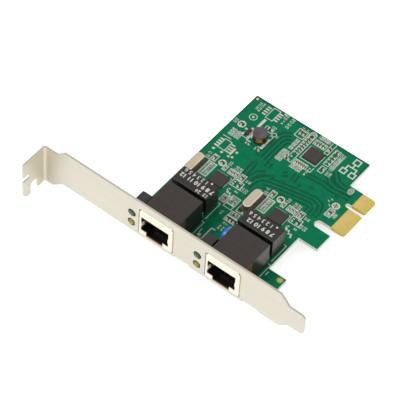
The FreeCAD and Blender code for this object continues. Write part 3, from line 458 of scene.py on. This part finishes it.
def rounded(centre, half_wide, half_high, sides):
    """Corners of an oval, taken anticlockwise."""
    turns = [2 * math.pi * step / sides for step in range(sides)]
    return [(centre[0] + half_wide * math.cos(turn), centre[1] + half_high * math.sin(turn))
            for turn in turns]


def beside(points, distance, closed=False):
    """The same route moved sideways by a distance, with mitred corners."""
    places = [Vector(point) for point in points]
    count = len(places)
    moved = []
    for index, here in enumerate(places):
        before = places[index - 1] if closed or index > 0 else here
        after = places[(index + 1) % count] if closed or index < count - 1 else here
        incoming = (here - before if before != here else after - here).normalized()
        outgoing = (after - here if after != here else here - before).normalized()
        along = (incoming + outgoing).normalized()
        moved.append(here + Vector((-along.y, along.x)) * (distance / max(along.dot(incoming), MITRE_LIMIT)))
    return moved


class Layer:
    """One flat layer of mask, metal or ink, gathered as thin upright prisms on a level face."""

    def __init__(self, name, material, base_z, thick, slot=None):
        self.name = name
        self.material = MATERIALS[material]
        self.slot = slot
        self.origin = (0.0, 0.0)
        self.base_z = base_z
        self.thick = thick
        self.vertices = []
        self.faces = []

    def place(self, x, y, z):
        """A place measured across the board from the layer's origin."""
        return spot(self.origin[0] + x, self.origin[1] + y, z)

    def rise(self):
        """Sets each new shape a hair above the last, so that crossing shapes never share a face."""
        self.base_z += RISE

    def area(self, corners):
        """A filled outline with corners (x, y) taken anticlockwise."""
        first = len(self.vertices)
        count = len(corners)
        for z in (self.base_z, self.base_z + self.thick):
            self.vertices += [self.place(x, y, z) for x, y in corners]
        self.faces.append([first + count + index for index in range(count)])
        self.faces.append([first + index for index in reversed(range(count))])
        for index in range(count):
            after = (index + 1) % count
            self.faces.append([first + index, first + after, first + count + after, first + count + index])

    def block(self, x, y, wide, high):
        """A filled rectangle round its centre."""
        self.rise()
        self.area([(x - wide / 2, y - high / 2), (x + wide / 2, y - high / 2),
                   (x + wide / 2, y + high / 2), (x - wide / 2, y + high / 2)])

    def line(self, points, width, closed=False):
        """A line of even width with mitred corners."""
        self.rise()
        left = beside(points, width / 2, closed)
        right = beside(points, -width / 2, closed)
        count = len(points)
        for index in range(count if closed else count - 1):
            after = (index + 1) % count
            self.area([right[index], right[after], left[after], left[index]])

    def frame(self, low, high, width):
        """The outline of a rectangle between two corners."""
        self.line([low, (high[0], low[1]), high, (low[0], high[1])], width, True)

    def ring(self, centre, radius, width, sides=ROUND_SIDES):
        """A round outline."""
        self.line(rounded(centre, radius, radius, sides), width, True)

    def disc(self, centre, radius):
        """A filled circle."""
        self.rise()
        self.area(rounded(centre, radius, radius, ROUND_SIDES))

    def oval(self, centre, half_wide, half_high):
        """A filled oval."""
        self.rise()
        self.area(rounded(centre, half_wide, half_high, OVAL_SIDES))

    def oval_ring(self, centre, half_wide, half_high, width):
        """An oval outline."""
        self.line(rounded(centre, half_wide, half_high, OVAL_SIDES), width, True)

    def text(self, body, x, y, height, turn, weight=LABEL_WEIGHT):
        """Plain letters or numbers centred on a place, turned by degrees."""
        self.rise()
        curve = bpy.data.curves.new("lettering", "FONT")
        curve.body = body
        curve.size = height / CAPITAL_HEIGHT
        curve.align_x = "CENTER"
        curve.align_y = "CENTER"
        curve.offset = weight
        curve.extrude = self.thick / 2
        curve.resolution_u = 2
        holder = bpy.data.objects.new("lettering", curve)
        letters = bpy.data.meshes.new_from_object(holder)
        first = len(self.vertices)
        swing = Matrix.Rotation(math.radians(turn), 3, "Z")
        middle_z = self.base_z + self.thick / 2
        for vertex in letters.vertices:
            turned = swing @ vertex.co
            self.vertices.append(self.place(x + turned.x, y + turned.y, middle_z + turned.z))
        for polygon in letters.polygons:
            self.faces.append([first + index for index in polygon.vertices])
        bpy.data.objects.remove(holder)
        bpy.data.curves.remove(curve)
        bpy.data.meshes.remove(letters)

    def draw(self, shapes, origin=(0.0, 0.0)):
        """Shapes from a table, each a kind and its measures, placed from an origin."""
        makers = {"area": self.area, "block": self.block, "line": self.line, "frame": self.frame,
                  "ring": self.ring, "disc": self.disc, "oval_ring": self.oval_ring, "text": self.text}
        self.origin = origin
        for kind, *measures in shapes:
            makers[kind](*measures)
        self.origin = (0.0, 0.0)

    def build(self):
        """Makes the layer one piece of the card; ink has no slot in the record."""
        mesh = bpy.data.meshes.new(self.name)
        mesh.from_pydata(self.vertices, [], self.faces)
        mesh.materials.append(self.material)
        piece = bpy.data.objects.new(self.name, mesh)
        bpy.context.scene.collection.objects.link(piece)
        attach(piece, "root")


def islands(node):
    """Lowest and highest corner, in drawing millimetres, of each separate solid in a CAD node."""
    work = bmesh.new()
    work.from_mesh(NODES[node].data)
    bmesh.ops.remove_doubles(work, verts=work.verts, dist=1e-7)
    unseen = set(work.verts)
    boxes = []
    while unseen:
        reached = [unseen.pop()]
        found = []
        while reached:
            vertex = reached.pop()
            found.append((vertex.co - ORIGIN) / MM)
            for edge in vertex.link_edges:
                other = edge.other_vert(vertex)
                if other in unseen:
                    unseen.remove(other)
                    reached.append(other)
        boxes.append(([min(place[axis] for place in found) for axis in range(3)],
                      [max(place[axis] for place in found) for axis in range(3)]))
    work.free()
    return sorted(boxes)


def plan_box(node):
    """Lowest and highest corner of a node in drawing millimetres."""
    low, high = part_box(node)
    return (low - ORIGIN) / MM, (high - ORIGIN) / MM


# ---------------------------------------------------------------- copper and lands

TRACE_Z = 0.003
TRACE_THICK = 0.006
TRACE_WIDTH = 0.85
TRACE_GAP = 0.85
VIA_CLEARANCE = 0.85
VIA_RADIUS = 0.4
PAD_Z = 0.002
PAD_THICK = 0.022

# bundles of wide traces: number of traces, then the middle route
TRACE_BUNDLES = [
    (3, [(67.1, 46.6), (70.1, 47.8), (75.1, 48.9), (81.1, 50.1), (86.2, 51.0), (88.5, 50.4), (89.3, 48.3),
         (89.3, 45.7)]),
    (3, [(59.9, 55.6), (59.8, 59.3), (59.8, 64.0), (59.8, 67.0), (60.4, 69.1), (62.4, 70.4)]),
    (1, [(63.7, 40.9), (63.8, 43.8), (64.7, 46.6), (67.9, 50.6)]),
    (1, [(62.2, 42.6), (62.1, 46.0), (62.9, 49.0), (65.3, 51.0)]),
    (1, [(59.5, 44.8), (59.2, 48.8), (59.0, 52.2)]),
    (1, [(63.7, 53.1), (63.5, 56.0)]),
    (1, [(77.3, 59.8), (81.1, 60.4), (84.9, 60.5), (88.0, 60.0), (91.5, 60.4), (96.5, 60.8)]),
    (1, [(83.7, 65.2), (86.3, 62.6), (89.2, 61.9), (92.2, 62.5), (96.5, 62.8)]),
    (1, [(84.7, 68.1), (88.0, 64.7), (90.8, 64.1), (92.6, 64.1)]),
    (1, [(74.9, 53.7), (74.9, 55.8), (74.5, 57.9)]),
    (1, [(70.2, 54.3), (71.8, 55.7)]),
    (1, [(57.0, 56.8), (58.6, 58.8)]),
]
VIAS = [(72.3, 51.5), (78.3, 53.9), (82.1, 56.0), (92.0, 58.7), (68.3, 51.2), (59.0, 52.4), (57.0, 56.8),
        (84.1, 44.6), (88.0, 49.5), (65.5, 22.4)]

# the dark line round the far corner of the board: inset, width, and where it starts and ends
RIM_INSET_X = 0.3
RIM_INSET_Y = 0.45
RIM_WIDTH = 0.5
RIM_START_Y = 42.5
RIM_END = (92.3, 66.4)

# lands of the chip parts: length, the gap from the part's end to the land's middle, and the extra width
LAND_LENGTH = 0.75
LAND_REACH = 0.35
LAND_MARGIN = 0.2

# lands without a part: x and the y values of a row of wide lands, then single lands as x, y, width, height
EMPTY_FOOTPRINTS = [(47.0, (73.4, 74.7, 76.0, 77.2)), (52.6, (73.4, 74.7, 76.0, 77.2)),
                    (42.6, (49.7, 51.0, 52.2, 53.5)), (47.8, (49.7, 51.0, 52.2, 53.5))]
ROW_LAND = (1.7, 0.65)
SINGLE_LANDS = [
    (46.5, 63.2, 1.0, 0.9), (48.3, 64.8, 1.0, 0.9), (47.0, 60.7, 1.0, 0.9), (49.4, 62.3, 1.4, 4.2),
    (56.4, 62.4, 0.8, 4.6), (49.3, 51.0, 1.0, 3.6), (50.9, 51.6, 0.9, 1.0), (50.9, 48.7, 0.9, 1.0),
    (42.8, 47.8, 1.0, 0.9), (46.3, 48.2, 1.0, 0.9), (49.5, 48.2, 1.0, 0.9),
]

# aiming dots: name, material of the ground and of the dot, bare discs of ground, then the dot
DARK_VIA = (67.9, 75.9)
AIMING_DOTS = [
    ("upper", "laminate", "tin", [(DARK_VIA, 0.65), ((40.8, 77.7), 1.1)], ((40.8, 77.7), 0.55)),
    ("lower", "pale_ring", "pale_land", [((99.0, 14.5), 1.35)], ((99.0, 14.5), 0.8)),
]
OVAL_CENTRE = (94.6, 64.1)
OVAL_HALF = (1.0, 1.4)
OVAL_LAND = (0.65, 0.91)


def lay_traces():
    """Dark clearance on each side of the traces and round the board edge, the traces and the vias."""
    gaps = Layer("trace_gaps", "dark_mask", TRACE_Z, TRACE_THICK, "solder_mask")
    copper = Layer("traces", "bare_mask", TRACE_Z + TRACE_THICK, TRACE_THICK, "solder_mask")
    pitch = TRACE_WIDTH + TRACE_GAP
    for count, route in TRACE_BUNDLES:
        gaps.line(route, count * pitch + TRACE_GAP)
        for index in range(count):
            copper.line(beside(route, (index - (count - 1) / 2) * pitch), TRACE_WIDTH)
    low, high = plan_box("circuit_board")
    near_x, far_y = low[0] + RIM_INSET_X, high[1] - RIM_INSET_Y
    gaps.line([(near_x, RIM_START_Y), (near_x, far_y), (RIM_END[0], far_y), RIM_END], RIM_WIDTH)
    for place in VIAS:
        gaps.disc(place, VIA_CLEARANCE)
        copper.disc(place, VIA_RADIUS)
    gaps.build()
    copper.build()


def part_places(node):
    """Centre, long side, short side and direction of the chip parts in a node."""
    places = []
    for low, high in islands(node):
        centre = Vector(((low[0] + high[0]) / 2, (low[1] + high[1]) / 2))
        wide, deep = high[0] - low[0], high[1] - low[1]
        places.append((centre, max(wide, deep), min(wide, deep), deep > wide))
    return places


def lay_lands():
    """Two plated lands under each chip part, and the lands that carry none."""
    tin = Layer("plated_lands", "tin", PAD_Z, PAD_THICK, "tin")
    for centre, long, short, upright in part_places("chip_capacitors") + part_places("chip_resistors"):
        for reach in (-long / 2 - LAND_REACH, long / 2 + LAND_REACH):
            if upright:
                tin.block(centre.x, centre.y + reach, short + LAND_MARGIN, LAND_LENGTH)
            else:
                tin.block(centre.x + reach, centre.y, LAND_LENGTH, short + LAND_MARGIN)
    for row_x, row in EMPTY_FOOTPRINTS:
        for row_y in row:
            tin.block(row_x, row_y, *ROW_LAND)
    for land in SINGLE_LANDS:
        tin.block(*land)
    tin.build()


def lay_dots():
    """The aiming dots in their clear rings, the oval land and the dark hole above the part column."""
    land = Layer("oval_land", "bare_land", PAD_Z, PAD_THICK, "copper")
    land.oval(OVAL_CENTRE, *OVAL_LAND)
    land.build()
    for name, ground, metal, bare_discs, dot in AIMING_DOTS:
        gap = Layer(name + "_dot_gap", ground, PAD_Z, PAD_THICK / 2, "solder_mask")
        for centre, radius in bare_discs:
            gap.disc(centre, radius)
        gap.build()
        plated = Layer(name + "_aiming_dot", metal, PAD_Z, PAD_THICK, "tin")
        plated.disc(*dot)
        plated.build()


# ---------------------------------------------------------------- white print

INK_Z = 0.018
INK_THICK = 0.02
LINE = 0.3
WIDE_LINE = 0.4
THICK_LINE = 0.5
SIGN_LINE = 0.55

# thinly printed areas: low corner, high corner
THIN_AREAS = [
    ((93.4, 49.1), (95.6, 52.9)), ((95.9, 49.6), (97.6, 52.2)), ((63.2, 58.6), (65.6, 65.0)),
    ((69.6, 58.9), (74.4, 61.1)), ((64.2, 65.8), (65.7, 71.6)), ((42.7, 56.9), (46.9, 60.5)),
    ((81.9, 66.8), (83.6, 74.6)), ((70.0, 77.1), (75.4, 78.8)), ((62.5, 30.8), (65.7, 34.4)),
    ((59.5, 30.0), (61.5, 33.0)), ((93.5, 53.8), (95.4, 56.1)),
]

# marks near the switch chip: the pointed and the ringed end of the part column, ticks
SWITCH_CLEARANCE = 0.5
SWITCH_TICK = 1.2
SWITCH_OPEN_CORNER = 0.4
SWITCH_SHAPES = [
    ("line", [(66.6, 77.6), (67.8, 78.6), (69.1, 77.6)], LINE),
    ("ring", DARK_VIA, 1.05, LINE),
    ("line", [(77.5, 64.2), (77.5, 61.6), (75.6, 61.6)], LINE),
    ("line", [(62.6, 77.5), (63.4, 77.5)], LINE),
    ("line", [(64.5, 77.5), (65.3, 77.5)], LINE),
]

# what repeats beside each port chip, from its centre: a chip corner, a chain of small marks, the framed box
# beside the crystal, a ring and the frames of the parts; then the thin area and the labels
PHY_CENTRES = [(53.85, 36.9), (81.05, 36.9)]
PHY_SHAPES = [
    ("line", [(3.3, -1.9), (3.3, 3.4), (2.4, 3.4)], LINE),
    ("line", [(-3.4, 3.5), (1.4, 3.5)], LINE),
    ("block", 5.2, -1.4, 0.7, 0.9), ("block", 5.9, -2.4, 0.7, 0.9), ("block", 6.9, -2.4, 0.7, 0.9),
    ("block", 7.6, -3.4, 0.7, 0.9), ("block", 8.6, -3.4, 0.7, 0.9), ("block", 9.1, -4.3, 0.7, 0.9),
    ("frame", (-8.4, -1.8), (-5.0, 5.2), WIDE_LINE),
    ("line", [(-7.3, -0.9), (-7.3, 4.3), (-6.4, 4.3)], THICK_LINE),
    ("line", [(-7.3, 1.2), (-6.6, 1.2)], LINE),
    ("line", [(-6.1, -0.9), (-6.1, 0.8)], LINE),
    ("ring", (-4.05, 7.4), 1.35, THICK_LINE),
    ("frame", (4.0, 1.1), (8.5, 4.4), LINE), ("frame", (-8.9, 6.1), (-6.8, 9.1), LINE),
    ("frame", (5.0, 4.7), (7.1, 7.9), LINE), ("frame", (-2.6, 4.9), (-1.1, 7.4), LINE),
    ("frame", (0.1, 4.9), (1.5, 7.4), LINE), ("frame", (1.5, 4.9), (2.9, 7.4), LINE),
    ("frame", (2.9, 4.9), (4.3, 7.4), LINE),
    ("text", "C2\nC4", -1.4, 9.0, 0.8, 0), ("text", "R2 R3\nC7 C8", 2.6, 8.8, 0.85, 0),
    ("text", "R1\nR6", 9.0, 6.2, 0.85, 90), ("text", "R2 C3\nR7 C9", 10.1, 1.9, 0.85, 0),
    ("text", "R4", 8.3, -0.4, 0.9, 0), ("text", "C1", -10.6, 8.4, 0.9, 0),
    ("text", "C5", -10.3, 6.7, 0.9, 0),
]
PHY_THIN_SHAPES = [("block", -6.7, 1.7, 3.0, 6.6)]

# outlines beside the jacks: gaps to the flank and the back, where they start, length of the turned end;
# the tick's x from the housing, y, width and height
JACK_PRINT_GAP = (1.0, 0.2)
JACK_PRINT_START_Y = 11.0
JACK_PRINT_REACH = 2.5
JACK_TICK = (2.2, 14.0, 0.35, 2.0)

# outlines beside the modules: gap to the back; gap to each flank, gap to the front, length of the turned end
MODULE_BACK_GAP = 0.6
MODULE_HIGH_FLANK = (0.7, 0.9, 1.5)
MODULE_LOW_FLANK = (0.5, 0.5, 1.3)
CRYSTAL_PRINT_GAP = (0.3, 1.1)
DISC_PRINT_GAP = (0.6, 0.5)
PORT_SHAPES = [
    ("line", [(65.6, 11.0), (65.6, 17.5), (67.2, 17.5)], THICK_LINE),
    ("line", [(40.5, 14.0), (40.5, 24.0)], LINE),
    ("disc", (63.8, 12.2), 0.75),
    ("disc", (64.6, 10.9), 0.4),
]

# the two empty footprints, the inductor and the parts round it, and a plain ring with a dot
UPPER_CORNER_SHAPES = [
    ("frame", (48.5, 72.4), (51.6, 78.2), LINE),
    ("frame", (43.5, 49.4), (46.6, 54.3), LINE),
    ("block", 49.35, 69.05, 1.15, 4.9),
    ("ring", (43.8, 64.0), 1.5, THICK_LINE, 8),
    ("line", [(49.9, 61.2), (49.9, 59.0), (51.6, 59.0)], THICK_LINE),
    ("line", [(55.0, 59.0), (56.9, 59.0), (56.9, 66.2), (55.2, 66.2)], LINE),
    ("area", [(55.6, 59.2), (56.8, 59.2), (56.8, 60.4)]),
    ("ring", (56.4, 67.5), 0.9, LINE),
    ("frame", (51.6, 67.2), (55.0, 69.4), LINE),
    ("line", [(46.9, 59.5), (49.3, 59.5), (49.3, 60.2)], LINE),
    ("line", [(41.5, 55.4), (45.3, 55.4)], LINE),
    ("disc", (53.6, 78.3), 0.4),
    ("ring", (45.0, 69.5), 1.5, LINE),
    ("disc", (45.0, 69.5), 0.5),
]

# parts above the edge connector, the ringed oval land and a plain network sign of three joined boxes
CONNECTOR_SHAPES = [
    ("ring", (94.4, 54.95), 1.35, THICK_LINE),
    ("line", [(91.0, 56.8), (92.0, 56.4)], LINE),
    ("line", [(90.4, 55.5), (91.4, 55.1)], LINE),
    ("line", [(91.7, 54.0), (92.7, 53.6)], LINE),
    ("oval_ring", OVAL_CENTRE, *OVAL_HALF, LINE),
    ("frame", (87.3, 75.5), (89.7, 77.9), SIGN_LINE),
    ("frame", (85.4, 69.3), (87.6, 71.5), SIGN_LINE),
    ("frame", (89.4, 69.3), (91.6, 71.5), SIGN_LINE),
    ("line", [(88.5, 75.5), (88.5, 73.5)], SIGN_LINE),
    ("line", [(86.5, 71.5), (86.5, 73.5), (90.5, 73.5), (90.5, 71.5)], SIGN_LINE),
]

# outlines printed round groups of parts: low corner, high corner
GROUP_FRAMES = [
    ((66.6, 60.9), (69.1, 77.6)), ((69.7, 61.4), (75.2, 63.7)), ((70.0, 73.6), (75.2, 76.1)),
    ((62.0, 72.5), (65.9, 76.6)), ((76.0, 72.5), (77.6, 79.0)), ((78.8, 68.2), (81.1, 76.7)),
    ((79.1, 64.0), (81.1, 67.2)), ((66.3, 23.6), (71.4, 26.2)), ((66.5, 26.4), (70.0, 28.6)),
    ((62.3, 28.5), (65.8, 30.3)), ((62.3, 30.6), (65.9, 34.6)), ((59.3, 29.8), (61.7, 33.2)),
    ((93.3, 49.0), (95.7, 53.0)),
]

# reference labels: rows of text, centre x, centre y, height, degrees
LABELS = [
    ("C41 C42 C43\nR41 R42 R43", 64.9, 68.8, 0.75, 90),
    ("R31 R32 R33\nC31 C32 C33\nC34 C35 C36", 64.4, 61.8, 0.75, 90),
    ("C51 C52 C53 C54\nR51 R52 R53 R54", 82.7, 72.3, 0.8, 90),
    ("C57\nC58", 83.4, 65.2, 0.9, 90),
    ("C61 C62\nC63 C64", 72.0, 60.0, 0.95, 0),
    ("R35 R36\nR37 R38", 72.7, 77.9, 0.8, 0),
    ("L1", 57.9, 67.4, 0.9, 90),
    ("C3\nC9", 40.9, 64.0, 0.9, 0),
    ("R71 C71\nR72 C72\nR73 C73", 44.8, 58.7, 1.0, 0),
    ("R5\nC6", 54.8, 77.4, 1.0, 0),
    ("R6\nC7", 57.7, 77.4, 1.0, 0),
    ("R7\nC8", 57.8, 74.3, 1.0, 0),
    ("U5 C12\nR13 C14", 44.0, 75.3, 0.9, 90),
    ("R9\nC9", 96.5, 51.0, 0.9, 90),
    ("R11", 68.2, 22.2, 0.9, 0),
    ("R12", 63.9, 25.6, 0.9, 90),
    ("C10", 54.4, 70.4, 0.8, 0),
]

# plain pin numbers on the transformer modules: rows of text, centre x, centre y, height, weight; then the dot
MODULE_TURN = 180
MODULE_DOT_RADIUS = 0.42
MODULE_MARKS = [
    ("1", [("1 2 3 4 5 6", 51.0, 26.5, 1.7, 0.03), ("7 8 9 10 11 12", 53.1, 24.0, 1.8, 0.09),
           ("13  24", 57.3, 21.4, 1.5, 0.03)], (57.5, 27.3)),
    ("2", [("1 2 3 4 5 6", 81.3, 25.8, 1.7, 0.03), ("7 8 9 10 12", 83.2, 22.8, 1.8, 0.08)], (87.9, 26.5)),
]


def print_round_switch(ink):
    """Frame round the switch chip, open at one corner, and the marks near it."""
    low, high = plan_box("switch_chip")
    near_x, far_x = low[0] - SWITCH_CLEARANCE, high[0] + SWITCH_CLEARANCE
    near_y, far_y = low[1] - SWITCH_CLEARANCE, high[1] + SWITCH_CLEARANCE
    ink.line([(near_x, far_y), (near_x, near_y), (far_x, near_y),
              (far_x, high[1] - SWITCH_OPEN_CORNER)], LINE)
    ink.line([(near_x, far_y), (low[0] + SWITCH_TICK, far_y)], LINE)
    ink.draw(SWITCH_SHAPES)


def print_flank(ink, x, near_y, far_y, reach):
    """A line along one flank of a body that turns in along its back."""
    ink.line([(x, near_y), (x, far_y), (x + reach, far_y)], LINE)


def print_frame_round(ink, node, gap):
    """A frame round the footprint of a node."""
    low, high = plan_box(node)
    ink.frame((low[0] - gap[0], low[1] - gap[1]), (high[0] + gap[0], high[1] + gap[1]), LINE)


def print_round_ports(ink):
    """Body outlines printed beside the jacks, the transformer modules, the crystals and the disc."""
    for number in ("1", "2"):
        low, high = plan_box("jack_" + number + "_housing")
        gap, back_gap = JACK_PRINT_GAP
        back_y = high[1] + back_gap
        print_flank(ink, high[0] + gap, JACK_PRINT_START_Y, back_y, -JACK_PRINT_REACH)
        print_flank(ink, low[0] - gap, JACK_PRINT_START_Y, back_y, JACK_PRINT_REACH)
        tick_x, *tick = JACK_TICK
        ink.block(high[0] + tick_x, *tick)
        low, high = plan_box("magnetics_" + number + "_body")
        back_y = high[1] + MODULE_BACK_GAP
        gap, front_gap, reach = MODULE_HIGH_FLANK
        print_flank(ink, high[0] + gap, low[1] - front_gap, back_y, -reach)
        gap, front_gap, reach = MODULE_LOW_FLANK
        print_flank(ink, low[0] - gap, low[1] - front_gap, back_y, reach)
        print_frame_round(ink, "crystal_" + number + "_base", CRYSTAL_PRINT_GAP)
    print_frame_round(ink, "disc_capacitor_body", DISC_PRINT_GAP)
    ink.draw(PORT_SHAPES)


def lay_print():
    """All the white ink on the upper face: outlines, group frames and reference labels."""
    ink = Layer("board_print", "white_ink", INK_Z, INK_THICK)
    thin = Layer("thin_print", "thin_ink", INK_Z, INK_THICK / 2)
    for low, high in THIN_AREAS:
        thin.block((low[0] + high[0]) / 2, (low[1] + high[1]) / 2, high[0] - low[0], high[1] - low[1])
    print_round_switch(ink)
    for centre in PHY_CENTRES:
        ink.draw(PHY_SHAPES, centre)
        thin.draw(PHY_THIN_SHAPES, centre)
    print_round_ports(ink)
    ink.draw(UPPER_CORNER_SHAPES)
    ink.draw(CONNECTOR_SHAPES)
    for low, high in GROUP_FRAMES:
        ink.frame(low, high, LINE)
    for label in LABELS:
        ink.text(*label)
    ink.build()
    thin.build()


def mark_modules():
    """Plain pin numbers and a dot beside the first pin on top of each transformer module."""
    for number, rows, dot in MODULE_MARKS:
        top = plan_box("magnetics_" + number + "_body")[1]
        ink = Layer("magnetics_" + number + "_marks", "white_ink", top[2], INK_THICK)
        for body, x, y, height, weight in rows:
            ink.text(body, x, y, height, MODULE_TURN, weight)
        ink.disc(dot, MODULE_DOT_RADIUS)
        ink.build()


# ---------------------------------------------------------------- stage

FLOOR_REACH = 3.0
FLOOR_DROP = 0.0001
FLOOR_WHITE = (0.8, 0.8, 0.8, 1)
FLOOR_GLOW = (0.7, 0.7, 0.7, 1)
WORLD_ON_OBJECT = 0.45
WORLD_AS_SEEN = 1.0

# lamps: name, side, watts, place
LAMPS = [
    ("key_lamp", 0.7, 7, (-0.7, -0.5, 1.1)),
    ("front_lamp", 0.8, 2.7, (0.5, -1.1, 0.45)),
    ("side_lamp", 0.8, 4, (1.2, -0.3, 0.6)),
]


def seen_as_backdrop(tree):
    """1 for what the camera sees straight, mirrored or through something clear, and 0 for plain light."""
    rays = tree.nodes.new("ShaderNodeLightPath").outputs
    mirrored = arithmetic(tree, "MAXIMUM", rays["Is Camera Ray"], rays["Is Glossy Ray"])
    return arithmetic(tree, "MAXIMUM", mirrored, rays["Is Transmission Ray"])


def add_floor():
    """A plain white floor just under the lowest edge of the card."""
    floor_z = cad_box[0].z - FLOOR_DROP
    mesh = bpy.data.meshes.new("floor")
    corners = [(-1, -1), (1, -1), (1, 1), (-1, 1)]
    mesh.from_pydata([(x * FLOOR_REACH, y * FLOOR_REACH, floor_z) for x, y in corners], [], [(0, 1, 2, 3)])
    floor = bpy.data.objects.new("floor", mesh)
    material, tree, shader = new_material("floor_white")
    shader.inputs["Base Color"].default_value = FLOOR_WHITE
    shader.inputs["Roughness"].default_value = 0.9
    shader.inputs["Specular IOR Level"].default_value = 0.0
    shader.inputs["Emission Color"].default_value = FLOOR_GLOW
    tree.links.new(seen_as_backdrop(tree), shader.inputs["Emission Strength"])
    mesh.materials.append(material)
    bpy.context.scene.collection.objects.link(floor)


def add_lamp(name, side, watts, place):
    """A square soft lamp aimed at the middle of the card."""
    data = bpy.data.lights.new(name, "AREA")
    data.size = side
    data.energy = watts
    lamp = bpy.data.objects.new(name, data)
    lamp.location = place
    lamp.rotation_euler = (CAMERA_AIM - Vector(place)).to_track_quat("-Z", "Y").to_euler()
    bpy.context.scene.collection.objects.link(lamp)


def add_light():
    """White surroundings that light the card gently, and the soft lamps."""
    world = bpy.data.worlds.new("studio")
    bpy.context.scene.world = world
    world.use_nodes = True
    tree = world.node_tree
    background = tree.nodes["Background"]
    background.inputs["Color"].default_value = (1, 1, 1, 1)
    strength = ramp(tree, seen_as_backdrop(tree), WORLD_ON_OBJECT, WORLD_AS_SEEN, 0.0, 1.0)
    tree.links.new(strength, background.inputs["Strength"])
    for lamp in LAMPS:
        add_lamp(*lamp)
    bpy.context.scene.view_settings.view_transform = "Standard"


add_camera()
dress_nodes()
lay_traces()
lay_lands()
lay_dots()
lay_print()
mark_modules()
add_floor()
add_light()
